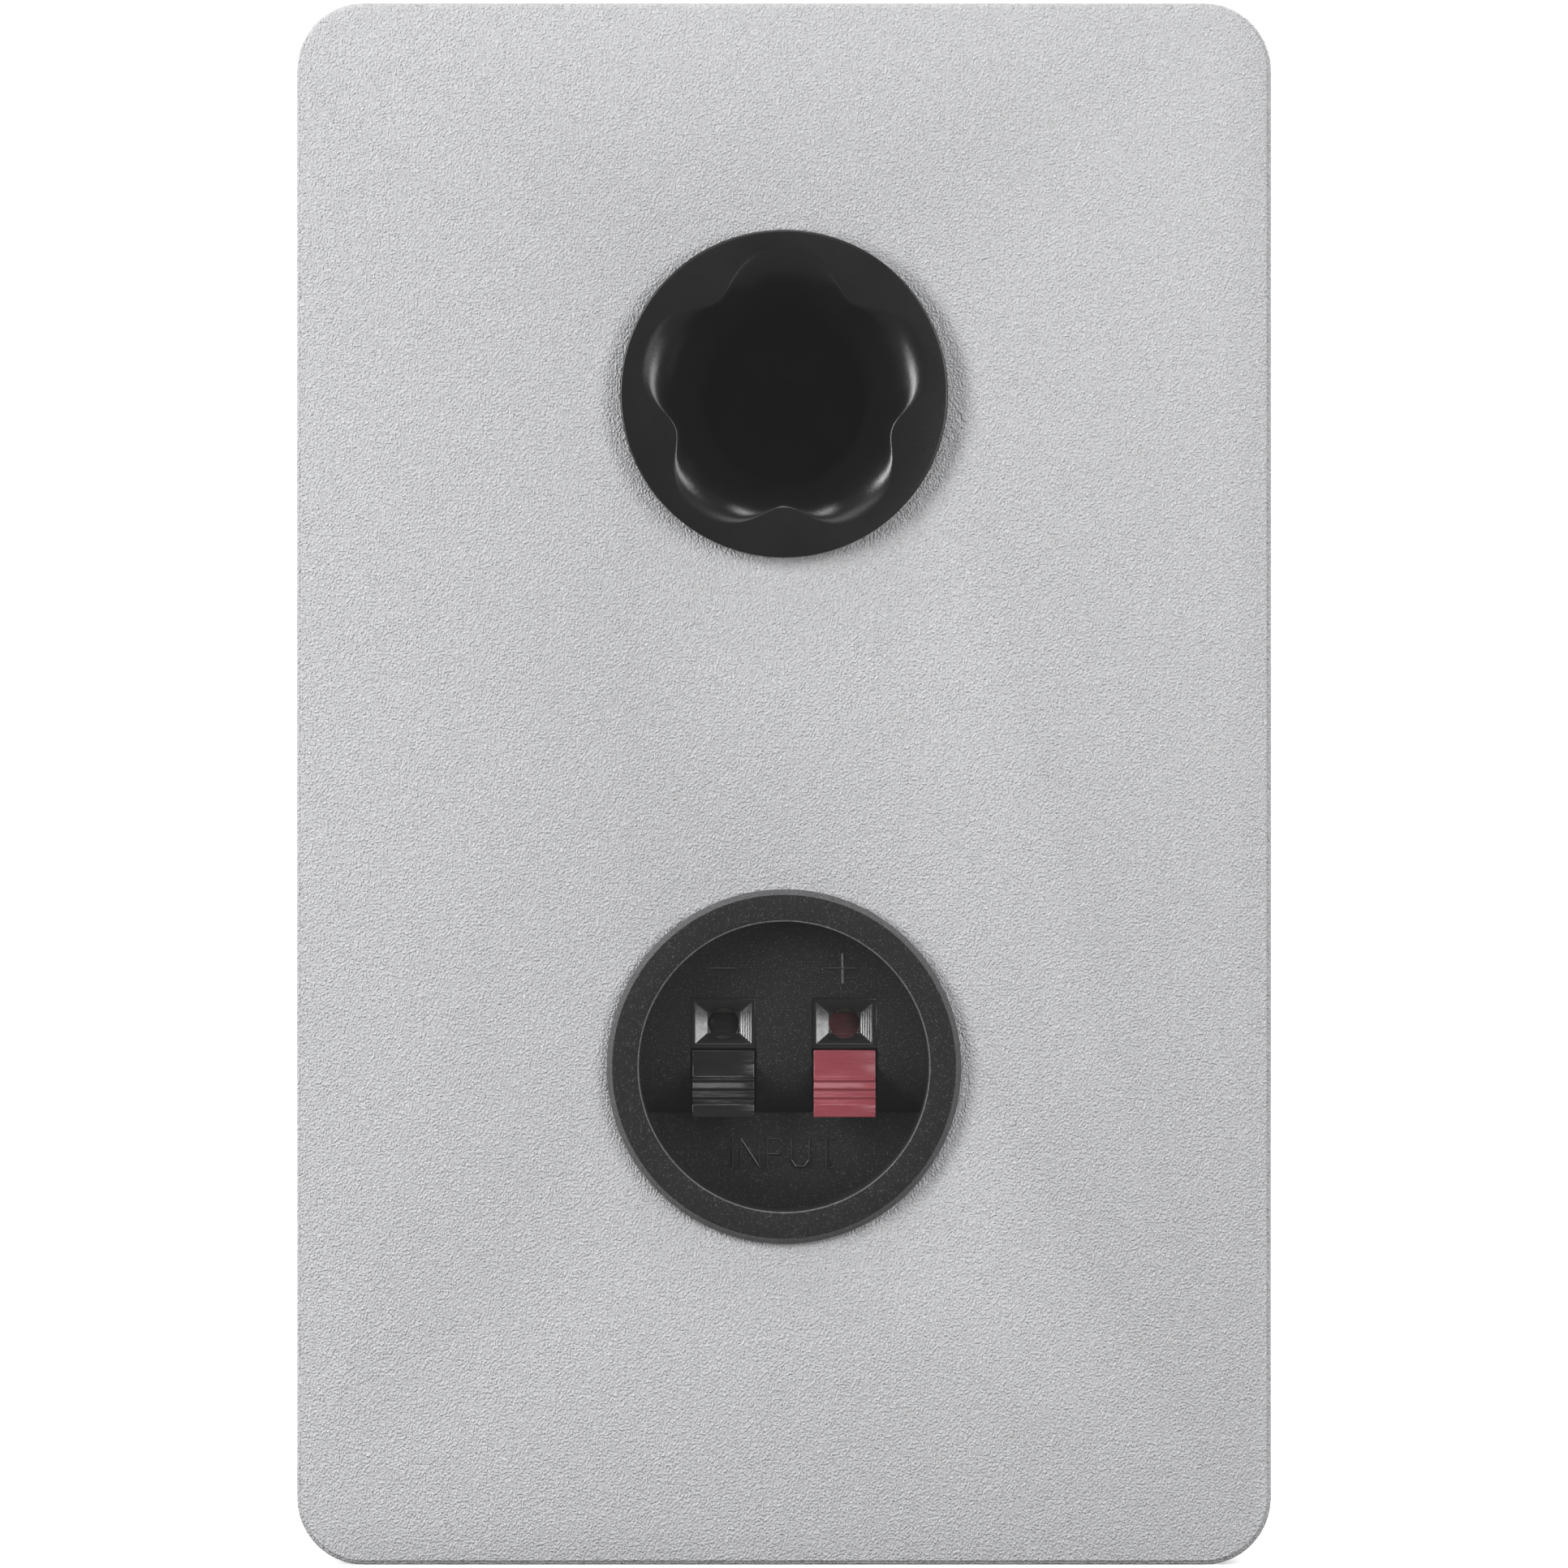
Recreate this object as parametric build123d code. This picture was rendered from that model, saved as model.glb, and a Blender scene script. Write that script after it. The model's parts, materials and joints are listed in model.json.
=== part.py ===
from build123d import *
import math
import os

# Two-way bookshelf loudspeaker with a rear port and a round spring-clip terminal cup.
# Millimetres. X is the width, the drivers face -Y, the port and terminals face +Y, +Z is up.
# The origin is on the floor, under the middle of the overall box.

# ---------------------------------------------------------------- cabinet
cabinet_width = 146.0
cabinet_height = 234.0
cabinet_depth = 172.0
corner_radius = 10.0
baffle_thickness = 15.0
panel_thickness = 9.0
vinyl_thickness = 0.4
baffle_edge_radius = 3.0
rear_edge_radius = 1.0
rebate_gap = 0.3
front_proud = 2.0
rear_proud = 2.0
overall_depth = cabinet_depth + front_proud + rear_proud
front_y = -overall_depth / 2 + front_proud
back_y = overall_depth / 2 - rear_proud
baffle_back_y = front_y + baffle_thickness
rear_panel_front_y = back_y - panel_thickness
vinyl_face_y = back_y - vinyl_thickness
floor_inside_z = vinyl_thickness + panel_thickness
core_width = cabinet_width - 2 * vinyl_thickness
core_height = cabinet_height - 2 * vinyl_thickness
core_radius = corner_radius - vinyl_thickness
inside_width = core_width - 2 * panel_thickness
inside_height = core_height - 2 * panel_thickness
cabinet_mid_z = cabinet_height / 2
pad_size = (14.0, 124.0, 190.0)
pad_edge_radius = 4.0
pad_middle_y = 3.0
pad_middle_z = 118.0

# ---------------------------------------------------------------- woofer, depths behind the baffle face
woofer_z = 78.0
woofer_flange_radius = 56.0
woofer_rebate_depth = 3.5
woofer_hole_radius = 48.2
woofer_flange_thickness = 2.5
woofer_screw_circle = 52.6
woofer_screw_count = 4
woofer_coil_radius = 10.2
woofer_coil_front_depth = 31.5
woofer_coil_end_depth = 39.5
woofer_former_depth = 21.6
woofer_former_wall = 0.2
woofer_winding_wall = 0.3
woofer_spider_depth = 27.0
woofer_plate_depth = 33.5
woofer_magnet_depth = 37.5
woofer_yoke_depth = 49.5
woofer_end_depth = 54.0
dust_cap_radius = 14.0
dust_cap_height = 5.4
dust_cap_depth = 18.2
dust_cap_skin = 0.5
roll_skin = 0.6
roll_crest_radius = 43.4
roll_inner_radius = 40.3
roll_outer_radius = 46.5
cone_joint_radius = 38.6
cone_joint_depth = 2.5
surround_ledge_depth = 1.0
surround_outer_radius = 49.0
spider_skin = 0.4
spider_waves = 4
spider_wave_height = 0.9
spider_flat = 2.0
spider_glue_radius = 33.6
basket_window_count = 6
basket_window_size = (24.0, 16.0, 26.0)
basket_window_radius = 42.0
basket_window_depth = 14.5
basket_section = [
    (46, 1.0), (49.1, 1.0), (49.1, 0), (56.0, 0), (56.0, 2.5), (47.6, 2.5), (35.0, 28.5), (28.6, 28.5),
    (28.6, 33.5), (12.0, 33.5), (12.0, 32.0), (27.1, 32.0), (27.1, 27.0), (34.0, 27.0), (46, 2.5),
]
strip_half_width = 8.0
woofer_blade_x = 4.4
woofer_blade_z = woofer_z + 41.5
woofer_blade_depth = 27.2
woofer_spade_y = front_y + woofer_blade_depth + 1.0
tinsel_route = [(19.0, 16.0), (24.6, 22.0), (21.0, 31.0), (18.4, 41.5), (24.4, 41.5)]

# ---------------------------------------------------------------- tweeter
tweeter_z = 182.0
tweeter_plate_radius = 37.0
tweeter_rebate_depth = 3.1
tweeter_hole_radius = 30.0
tweeter_plate_thickness = 2.6
tweeter_screw_circle = 33.4
tweeter_screw_count = 3
tweeter_mouth_radius = 25.0
tweeter_bore_radius = 15.2
tweeter_bore_depth = 5.2
tweeter_boss_radius = 29.0
tweeter_dome_radius = 12.5
tweeter_dome_height = 5.0
tweeter_clamp_depth = 6.6
tweeter_roll_skin = 0.35
tweeter_plate_depth = 7.0
tweeter_magnet_depth = 10.0
tweeter_yoke_depth = 19.0
tweeter_end_depth = 22.0
tweeter_blade_x = 4.0
tweeter_blade_z = tweeter_z - 26.2
tweeter_blade_length = 8.0
tweeter_spade_y = front_y + tweeter_clamp_depth + 1.2

# ---------------------------------------------------------------- port
port_z = 175.4
port_flange_radius = 24.55
port_body_radius = 22.8
port_valley_radius = 17.1
port_lobe_radius = 22.0
port_lobe_fullness = 1.6
port_throat_radius = 12.15
port_throat_depth = 25.0
port_lobes = 5
port_flare_power = 1.8
port_flange_edge = 0.5
port_taper_depth = 12.0
port_wall = 1.5
port_tube_wall = 1.5
port_stop_depth = 26.0
port_socket_end_depth = 33.0
port_length = 71.0

# ---------------------------------------------------------------- terminal cup, depths inward from its rim
cup_z = 74.7
cup_proud = 1.6
cup_rim_y = back_y + cup_proud
cup_flange_radius = 26.55
cup_chamfer = 0.8
cup_body_radius = 24.4
cup_mouth_radius = 21.7
cup_cavity_radius = 22.4
cup_depth = 29.4
cup_upper_floor = 5.0
cup_ledge_z = -7.2
cup_scoop_start_z = 2.4
cup_scoop_radius = 12.3
cup_floor_thickness = 2.0
cup_lower_floor = [(8.0, -7.2), (8.3, -13.0), (9.0, -17.0), (11.0, -23.0)]
cup_cover_depth = 27.6
cup_cover_thickness = 1.6
clip_pitch = 18.2
slot_width = 9.9
slot_bottom_z = -7.0
window_top_z = 10.2
window_bottom_z = 2.6
funnel_front_depth = 5.3
funnel_back_depth = 8.5
funnel_mouth = (8.5, 6.3)
funnel_foot = (4.8, 3.1)
funnel_foot_depth = 6.4
wire_hole_radius = 2.3
wire_hole_z = 6.3
lever_width = 9.3
lever_boss_radius = 2.6
lever_outline = [
    (4.6, 2.3), (4.9, 0.6), (4.7, -1.7), (4.2, -2.1), (4.6, -2.5), (4.1, -3.4), (4.5, -3.8), (3.9, -4.7),
    (4.3, -5.1), (3.4, -5.8), (3.4, -7.7), (5.2, -7.7), (6.3, -2.6), (6.3, -1.3), (23.0, -1.3), (23.0, 1.2),
    (11.9, 1.2), (11.9, 7.8), (10.4, 7.8), (10.4, 1.2), (6.3, 1.2), (6.3, 2.3),
]
pivot_depth = 24.0
pin_radius = 1.0
pin_clearance = 0.05
rib_inner_x = 2.4
rib_outer_x = 14.3
rib_thickness = 1.5
rib_half_height = 3.2
rib_front_depth = 6.6
rib_back_depth = 27.2
contact_z = 8.8
contact_front_depth = 9.2
contact_stop_depth = 16.0
contact_stop_z = 3.6
contact_thickness = 0.6
contact_width = 4.8
contact_end_depth = 36.6
spring_depth = 16.0
spring_wire_radius = 0.3
spring_radius = 1.9
spring_turns = 5
spring_seat_z = -9.2
shelf_half_width = 14.2
shelf_front_depth = 9.6
shelf_back_depth = 20.0
shelf_thickness = 1.5
lever_arm_z = -1.3
cup_spade_y = cup_rim_y - 29.8
cup_blade_z = cup_z + contact_z + contact_thickness / 2

# ---------------------------------------------------------------- crossover board and wiring
board_z = 14.0
board_thickness = 1.6
board_top_z = board_z + board_thickness
board_pilot_z = 4.4
board_half_width = 33.0
board_front_y = 11.0
board_rear_y = 59.0
board_screw_x = 29.5
board_screw_y = (14.5, 55.5)
standoff_radius = 3.2
pan_head_radius = 2.9
pan_head_height = 1.8
capacitor_radius = 6.5
capacitor_length = 26.0
inductor_radii = (6.0, 13.0)
inductor_height = 12.0
resistor_size = (22.0, 9.0, 9.0)
landing_y = 19.0
wire_radius = 0.9
tinsel_radius = 0.4
blade_width = 4.8
blade_thickness = 0.6
spade_length = 7.0
spade_half_width = 2.9
spade_half_height = 0.9
spade_wall = 0.5
barrel_length = 4.5
barrel_radius = 1.5
screw_shank_radius = 1.6
screw_head_radius = 3.3
screw_head_height = 1.8
driver_screw_length = 13.0
driver_screw_point = 2.0


# ================================================================ drawing helpers
def across(y, x=0.0, z=0.0):
    """A plane across the cabinet at depth y: its x is world X, its y is world Z, it faces the front."""
    return Plane(origin=(x, y, z), x_dir=(1, 0, 0), z_dir=(0, -1, 0))


def slab(outline, y_low, y_high, x=0.0, z=0.0):
    """An outline drawn in X and Z, made solid from y_low to y_high."""
    return extrude(across(y_high, x, z) * outline, amount=y_high - y_low, dir=(0, -1, 0))


def turned(points, centre_z, face_y, sign=1.0):
    """A ring spun about a front-to-back axis from (radius, depth) points behind a face."""
    outline = Polygon(*[(r, face_y + sign * depth) for r, depth in points], align=None)
    return spun(outline, centre_z)


def spun(outline, centre_z):
    """A half-section drawn as (radius, world y), spun about the axis at height centre_z."""
    section = Plane(origin=(0, 0, centre_z), x_dir=(1, 0, 0), z_dir=(0, 0, 1)) * outline
    return revolve(section, axis=Axis((0, 0, centre_z), (0, 1, 0)))


def ring(inner, outer, depth_low, depth_high, centre_z, face_y=front_y):
    """A plain ring behind a face."""
    return turned(
        [(inner, depth_low), (outer, depth_low), (outer, depth_high), (inner, depth_high)],
        centre_z,
        face_y,
    )


def bar(x_low, x_high, y_low, y_high, z_low, z_high):
    """A square-edged block between two corners."""
    block = Box(x_high - x_low, y_high - y_low, z_high - z_low, align=(Align.MIN,) * 3)
    return Pos(x_low, y_low, z_low) * block


def round_bar(radius, start, length, direction):
    """A cylinder from a start point along a direction."""
    return extrude(Plane(origin=start, z_dir=direction) * Circle(radius), amount=length)


def profile_across(points, x_mid, width):
    """A side profile of (y, z) points, made solid across X about x_mid."""
    start = Plane(origin=(x_mid - width / 2, 0, 0), x_dir=(0, 1, 0), z_dir=(1, 0, 0))
    return extrude(start * Polygon(*points, align=None), amount=width, dir=(1, 0, 0))


def arc_shell(outer, inner):
    """A closed section between two three-point arcs, each given as three (radius, y) points."""
    near = ThreePointArc(*outer)
    far = ThreePointArc(*inner)
    return make_face([near, Line(outer[2], inner[2]), far, Line(inner[0], outer[0])])


def on_circle(count, radius, centre_z, first_angle):
    """Evenly spaced (x, z) places on a circle round a driver's axis."""
    places = []
    for step in range(count):
        angle = math.radians(first_angle + 360.0 * step / count)
        places.append((radius * math.cos(angle), centre_z + radius * math.sin(angle)))
    return places


def cord(points, radius):
    """An insulated wire: straight runs joined by arcs as large as the runs allow."""
    corners = [Vector(*p) for p in points]
    radii = []
    for before, at, after in zip(corners, corners[1:], corners[2:]):
        turn = math.radians((at - before).get_angle(after - at))
        shorter = min((at - before).length, (after - at).length)
        radii.append(0.45 * shorter / math.tan(turn / 2))
    path = FilletPolyline(*points, radius=radii)
    section = Plane(origin=path @ 0, z_dir=path % 0) * Circle(radius)
    tube = sweep(section, path=path)
    expected = math.pi * radius**2 * path.length
    print("cord length %.1f" % path.length, "least radius %.1f" % min(radii),
          "volume ratio %.4f" % (tube.volume / expected))
    return tube


def save(name, shape):
    """Write one node's STEP file."""
    export_step(shape, os.path.join("parts", name + ".step"))


# ================================================================ cabinet
def rounded_outline():
    return RectangleRounded(cabinet_width, cabinet_height, corner_radius)


def core_outline():
    return RectangleRounded(core_width, core_height, core_radius)


def carcass_panels():
    """Four mitred boards of the sleeve between the baffle and the rear panel."""
    sleeve = slab(core_outline() - Rectangle(inside_width, inside_height),
                  baffle_back_y, rear_panel_front_y, z=cabinet_mid_z)
    half_w = inside_width / 2
    half_h = inside_height / 2
    reach = panel_thickness + corner_radius
    top_wedge = [(-half_w, half_h), (half_w, half_h), (half_w + reach, half_h + reach),
                 (-half_w - reach, half_h + reach)]
    side_wedge = [(half_w, -half_h), (half_w, half_h), (half_w + reach, half_h + reach),
                  (half_w + reach, -half_h - reach)]
    wedges = {
        "top_panel": top_wedge,
        "bottom_panel": [(x, -z) for x, z in top_wedge],
        "right_side_panel": side_wedge,
        "left_side_panel": [(-x, z) for x, z in side_wedge],
    }
    panels = {}
    for name, corners in wedges.items():
        wedge = slab(Polygon(*corners, align=None), front_y, back_y, z=cabinet_mid_z)
        panels[name] = sleeve & wedge
    for x, y in board_screw_places():
        panels["bottom_panel"] -= round_bar(screw_shank_radius, (x, y, board_pilot_z), 8, (0, 0, 1))
    return panels


def vinyl_sleeve():
    """Textured vinyl glued round the four boards."""
    return slab(rounded_outline() - core_outline(), baffle_back_y, rear_panel_front_y, z=cabinet_mid_z)


def rear_cuts():
    """The round holes for the port and the terminal cup."""
    port_hole = slab(Circle(port_body_radius), rear_panel_front_y, back_y, z=port_z)
    cup_hole = slab(Circle(cup_body_radius), rear_panel_front_y, back_y, z=cup_z)
    return port_hole + cup_hole


def back_board():
    """The rear board with a slightly eased outer edge."""
    board = slab(rounded_outline(), rear_panel_front_y, vinyl_face_y, z=cabinet_mid_z)
    rim = board.edges().filter_by_position(Axis.Y, vinyl_face_y - 0.01, vinyl_face_y + 0.01)
    return fillet(rim, rear_edge_radius - vinyl_thickness) - rear_cuts()


def back_vinyl():
    """Textured vinyl over the face of the rear board."""
    margin = 2 * (rear_edge_radius - vinyl_thickness)
    sheet = RectangleRounded(cabinet_width - margin, cabinet_height - margin, corner_radius - margin / 2)
    return slab(sheet, vinyl_face_y, back_y, z=cabinet_mid_z) - rear_cuts()


def baffle():
    """The front board with rebated driver holes and screw pilot holes."""
    board = slab(rounded_outline(), front_y, baffle_back_y, z=cabinet_mid_z)
    rim = board.edges().filter_by_position(Axis.Y, front_y - 0.01, front_y + 0.01)
    board = fillet(rim, baffle_edge_radius)
    cuts = [
        (woofer_z, woofer_flange_radius + rebate_gap, woofer_rebate_depth, woofer_hole_radius),
        (tweeter_z, tweeter_plate_radius + rebate_gap, tweeter_rebate_depth, tweeter_hole_radius),
    ]
    for z, rebate_radius, rebate_depth, hole_radius in cuts:
        board -= slab(Circle(rebate_radius), front_y, front_y + rebate_depth, z=z)
        board -= slab(Circle(hole_radius), front_y, baffle_back_y, z=z)
    for x, z in woofer_screw_places() + tweeter_screw_places():
        board -= round_bar(screw_shank_radius, (x, front_y, z), driver_screw_length, (0, 1, 0))
    return board


def damping_pads():
    """Polyester wadding pads inside the two side walls."""
    pads = []
    middle_x = (inside_width - pad_size[0]) / 2
    for side in (-1, 1):
        pad = fillet(Box(*pad_size).edges(), pad_edge_radius)
        pads.append(Pos(side * middle_x, pad_middle_y, pad_middle_z) * pad)
    return Compound(children=pads)


# ================================================================ shared driver pieces
def woofer_screw_places():
    return on_circle(woofer_screw_count, woofer_screw_circle, woofer_z, 45)


def tweeter_screw_places():
    return on_circle(tweeter_screw_count, tweeter_screw_circle, tweeter_z, 90)


def driver_screw(x, z):
    """A countersunk wood screw that goes in from the front."""
    shank_end = driver_screw_length - driver_screw_point
    outline = Polygon((0, 0), (screw_head_radius, 0), (screw_shank_radius, screw_head_height),
                      (screw_shank_radius, shank_end), (0, driver_screw_length), align=None)
    section = Plane(origin=(x, front_y, z), x_dir=(1, 0, 0), z_dir=(0, 0, 1)) * outline
    return revolve(section, axis=Axis((x, 0, z), (0, 1, 0)))


def countersinks(places, plate):
    """Cut the driver screws' own shape out of a plate."""
    for x, z in places:
        plate -= driver_screw(x, z)
    return plate


def spade(x, y, z, sign):
    """A crimped push-on connector: a flat sleeve over the blade and a round barrel."""
    sleeve_end = y + sign * spade_length
    wall_end = sleeve_end + sign * spade_wall
    across_x = (x - spade_half_width, x + spade_half_width)
    up_z = (z - spade_half_height, z + spade_half_height)
    sleeve = bar(*across_x, *sorted((y, sleeve_end)), *up_z)
    sleeve -= bar(x - blade_width / 2, x + blade_width / 2, *sorted((y, sleeve_end)),
                  z - blade_thickness / 2, z + blade_thickness / 2)
    wall = bar(*across_x, *sorted((sleeve_end, wall_end)), *up_z)
    return sleeve + wall + round_bar(barrel_radius, (x, wall_end, z), barrel_length, (0, sign, 0))


def spade_tail(y, sign):
    """Where the wire leaves a connector that starts at y."""
    return y + sign * (spade_length + spade_wall + barrel_length)


# ================================================================ woofer
def woofer_basket():
    """Pressed frame: flange, tapered wall with six windows, spider ledge and plate seat."""
    frame = turned(basket_section, woofer_z, front_y)
    for step in range(basket_window_count):
        window = Pos(basket_window_radius, front_y + basket_window_depth, 0) * Box(*basket_window_size)
        turn = 90 + 360 * step / basket_window_count
        frame -= Pos(0, 0, woofer_z) * (Rot(0, turn, 0) * window)
    bracket_top = front_y + 26.0
    frame += bar(-strip_half_width, strip_half_width, bracket_top, bracket_top + 1.2,
                 woofer_z + 34.6, woofer_z + 40)
    return countersinks(woofer_screw_places(), frame)


def woofer_gasket():
    band = ring(woofer_hole_radius + 0.3, woofer_flange_radius - 0.4,
                woofer_flange_thickness, woofer_rebate_depth, woofer_z)
    return countersinks(woofer_screw_places(), band)


def woofer_surround():
    """Half-roll rubber edge between the cone and the frame."""
    inner_y = front_y + cone_joint_depth
    outer_y = front_y + surround_ledge_depth
    crest_y = front_y - front_proud + roll_skin
    arcs = []
    for skin in (roll_skin, 0.0):
        arcs.append([(roll_inner_radius, inner_y - skin), (roll_crest_radius, crest_y - skin),
                     (roll_outer_radius, outer_y - skin)])
    inner_lip = ring(cone_joint_radius, roll_inner_radius,
                     cone_joint_depth - roll_skin, cone_joint_depth, woofer_z)
    outer_lip = ring(roll_outer_radius, surround_outer_radius,
                     surround_ledge_depth - roll_skin, surround_ledge_depth, woofer_z)
    return spun(arc_shell(*arcs), woofer_z) + inner_lip + outer_lip


def woofer_cone():
    """Shallow flared paper cone with a narrow outer lip."""
    def at(radius, depth):
        return (radius, front_y + depth)
    wall = arc_shell([at(woofer_coil_radius, 22.6), at(25.0, 11.2), at(38.4, 2.5)],
                     [at(woofer_coil_radius, 23.4), at(25.3, 11.9), at(38.9, 3.1)])
    return spun(wall, woofer_z) + ring(38.0, 40.2, 2.5, 3.1, woofer_z)


def domed_shell(edge_radius, height, skin, edge_y, centre_z):
    """A thin spherical cap that bulges towards the front from its edge."""
    apex_y = edge_y - height
    half = edge_radius / 2
    sphere = (edge_radius**2 + height**2) / (2 * height)
    mid_y = apex_y + sphere - math.sqrt(sphere**2 - half**2)
    section = make_face([
        ThreePointArc((0, apex_y), (half, mid_y), (edge_radius, edge_y)),
        Line((edge_radius, edge_y), (edge_radius, edge_y + skin)),
        ThreePointArc((edge_radius, edge_y + skin), (half, mid_y + skin), (0, apex_y + skin)),
        Line((0, apex_y + skin), (0, apex_y)),
    ])
    return spun(section, centre_z)


def woofer_dust_cap():
    return domed_shell(dust_cap_radius, dust_cap_height, dust_cap_skin, front_y + dust_cap_depth, woofer_z)


def woofer_spider():
    """Corrugated cloth disc that centres the coil."""
    rest_depth = woofer_spider_depth - spider_skin
    first_radius = woofer_coil_radius + spider_flat
    wave_span = 0.92 * (spider_glue_radius - 3.6 - woofer_coil_radius)
    steps = 8 * spider_waves
    top = [(woofer_coil_radius, rest_depth)]
    for step in range(steps + 1):
        share = step / steps
        rise = spider_wave_height * (math.cos(2 * math.pi * spider_waves * share) - 1)
        top.append((first_radius + wave_span * share, rest_depth + rise))
    top.append((spider_glue_radius, rest_depth))
    bottom = [(radius, depth + spider_skin) for radius, depth in reversed(top)]
    return turned(top + bottom, woofer_z, front_y)


def woofer_pieces():
    """Everything on the woofer except its screws and leads."""
    pole = ring(3.0, 9.6, 32.5, woofer_yoke_depth, woofer_z)
    back_disc = ring(3.0, 34.0, woofer_yoke_depth, woofer_end_depth, woofer_z)
    return {
        "woofer_basket": woofer_basket(),
        "woofer_gasket": woofer_gasket(),
        "woofer_surround": woofer_surround(),
        "woofer_cone": woofer_cone(),
        "woofer_dust_cap": woofer_dust_cap(),
        "woofer_spider": woofer_spider(),
        "woofer_coil_former": ring(woofer_coil_radius - woofer_former_wall, woofer_coil_radius,
                                   woofer_former_depth, woofer_coil_end_depth, woofer_z),
        "woofer_voice_coil": ring(woofer_coil_radius, woofer_coil_radius + woofer_winding_wall,
                                  woofer_coil_front_depth, woofer_coil_end_depth, woofer_z),
        "woofer_top_plate": ring(10.8, 30.0, woofer_plate_depth, woofer_magnet_depth, woofer_z),
        "woofer_magnet": ring(14.0, 36.0, woofer_magnet_depth, woofer_yoke_depth, woofer_z),
        "woofer_yoke": pole + back_disc,
        "woofer_terminal_strip": woofer_terminal_strip(),
    }


def woofer_terminal_strip():
    """Insulating strip on the frame with two push-on blades."""
    strip = bar(-strip_half_width, strip_half_width, front_y + 24.4, front_y + 26.0,
                woofer_z + 37.2, woofer_z + 44.5)
    for side in (-1, 1):
        x = side * woofer_blade_x
        strip += bar(x - blade_width / 2, x + blade_width / 2, front_y + 25.0, front_y + 35.0,
                     woofer_blade_z - blade_thickness / 2, woofer_blade_z + blade_thickness / 2)
    return strip


def woofer_tinsel_leads():
    """Braided leads that hang from the back of the cone to the terminal strip."""
    leads = []
    for side in (-1, 1):
        x = side * woofer_blade_x
        route = [(x, front_y + depth, woofer_z + height) for depth, height in tinsel_route]
        leads.append(cord(route, tinsel_radius))
    return Compound(children=leads)


# ================================================================ tweeter
def tweeter_faceplate():
    """Round plate with a shallow flared mouth round the dome."""
    def at(radius, depth):
        return (radius, front_y + depth)
    outline = [
        ThreePointArc(at(tweeter_bore_radius, tweeter_bore_depth), at(18.6, 1.9),
                      at(tweeter_mouth_radius, 0)),
        Polyline(
            at(tweeter_mouth_radius, 0),
            at(tweeter_plate_radius, 0),
            at(tweeter_plate_radius, tweeter_plate_thickness),
            at(tweeter_boss_radius, tweeter_plate_thickness),
            at(tweeter_boss_radius, tweeter_clamp_depth),
            at(tweeter_bore_radius, tweeter_clamp_depth),
            at(tweeter_bore_radius, tweeter_bore_depth),
        ),
    ]
    return countersinks(tweeter_screw_places(), spun(make_face(outline), tweeter_z))


def tweeter_dome():
    """Silk dome: a thin spherical cap."""
    return domed_shell(tweeter_dome_radius, tweeter_dome_height, tweeter_roll_skin,
                       front_y + tweeter_clamp_depth, tweeter_z)


def tweeter_surround():
    """Small half-roll between the dome and the clamped rim."""
    inner = tweeter_dome_radius + 0.15
    outer = tweeter_bore_radius - 0.1
    clamp_y = front_y + tweeter_clamp_depth
    arcs = []
    for skin in (0.0, tweeter_roll_skin):
        arcs.append([(inner, clamp_y - 0.1 + skin), (13.9, clamp_y - 1.3 + skin), (outer, clamp_y + skin)])
    lip = ring(outer, 17.8, tweeter_clamp_depth, tweeter_clamp_depth + tweeter_roll_skin, tweeter_z)
    return spun(arc_shell(*arcs), tweeter_z) + lip


def tweeter_tags():
    """Two push-on blades behind the plate."""
    tags = []
    for side in (-1, 1):
        x = side * tweeter_blade_x
        start_y = front_y + tweeter_clamp_depth
        tags.append(bar(x - blade_width / 2, x + blade_width / 2, start_y, start_y + tweeter_blade_length,
                        tweeter_blade_z - blade_thickness / 2, tweeter_blade_z + blade_thickness / 2))
    return Compound(children=tags)


def tweeter_pieces():
    pole = ring(3.2, 11.9, 7.3, tweeter_yoke_depth, tweeter_z)
    back_disc = ring(3.2, 21.5, tweeter_yoke_depth, tweeter_end_depth, tweeter_z)
    gasket = ring(tweeter_hole_radius + 0.2, tweeter_plate_radius - 0.4,
                  tweeter_plate_thickness, tweeter_rebate_depth, tweeter_z)
    return {
        "tweeter_faceplate": tweeter_faceplate(),
        "tweeter_gasket": countersinks(tweeter_screw_places(), gasket),
        "tweeter_dome": tweeter_dome(),
        "tweeter_surround": tweeter_surround(),
        "tweeter_voice_coil": ring(12.3, 12.6, 6.95, 10.2, tweeter_z),
        "tweeter_top_plate": ring(13.1, 24.0, tweeter_plate_depth, tweeter_magnet_depth, tweeter_z),
        "tweeter_magnet": ring(14.5, 22.5, tweeter_magnet_depth, tweeter_yoke_depth, tweeter_z),
        "tweeter_yoke": pole + back_disc,
        "tweeter_terminal_tags": tweeter_tags(),
    }


# ================================================================ port
def port_section(share):
    """The lobed outline of the mouth, melting into the round throat as share goes from 0 to 1."""
    spread = (1 - share) ** port_flare_power
    points = []
    samples = 8 * port_lobes
    for step in range(samples):
        angle = math.radians(90 + 360.0 * step / samples)
        wave = 0.5 + 0.5 * math.cos(port_lobes * (angle - math.pi / 2))
        full = 1 - (1 - wave) ** port_lobe_fullness
        mouth = port_valley_radius + (port_lobe_radius - port_valley_radius) * full
        radius = port_throat_radius + (mouth - port_throat_radius) * spread
        points.append((radius * math.cos(angle), radius * math.sin(angle)))
    return make_face(Spline(*points, periodic=True))


def port_mouth_space():
    """The air inside the flare: lobed at the face, round from the throat inwards."""
    rim_y = back_y + rear_proud
    sections = []
    for share in (-0.04, 0.0, 0.15, 0.35, 0.6, 0.8, 0.97):
        sections.append(across(rim_y - share * port_throat_depth, z=port_z) * port_section(share))
    throat = slab(Circle(port_throat_radius), rim_y - port_stop_depth - 1, rim_y + 1, z=port_z)
    return loft(sections), throat


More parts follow.
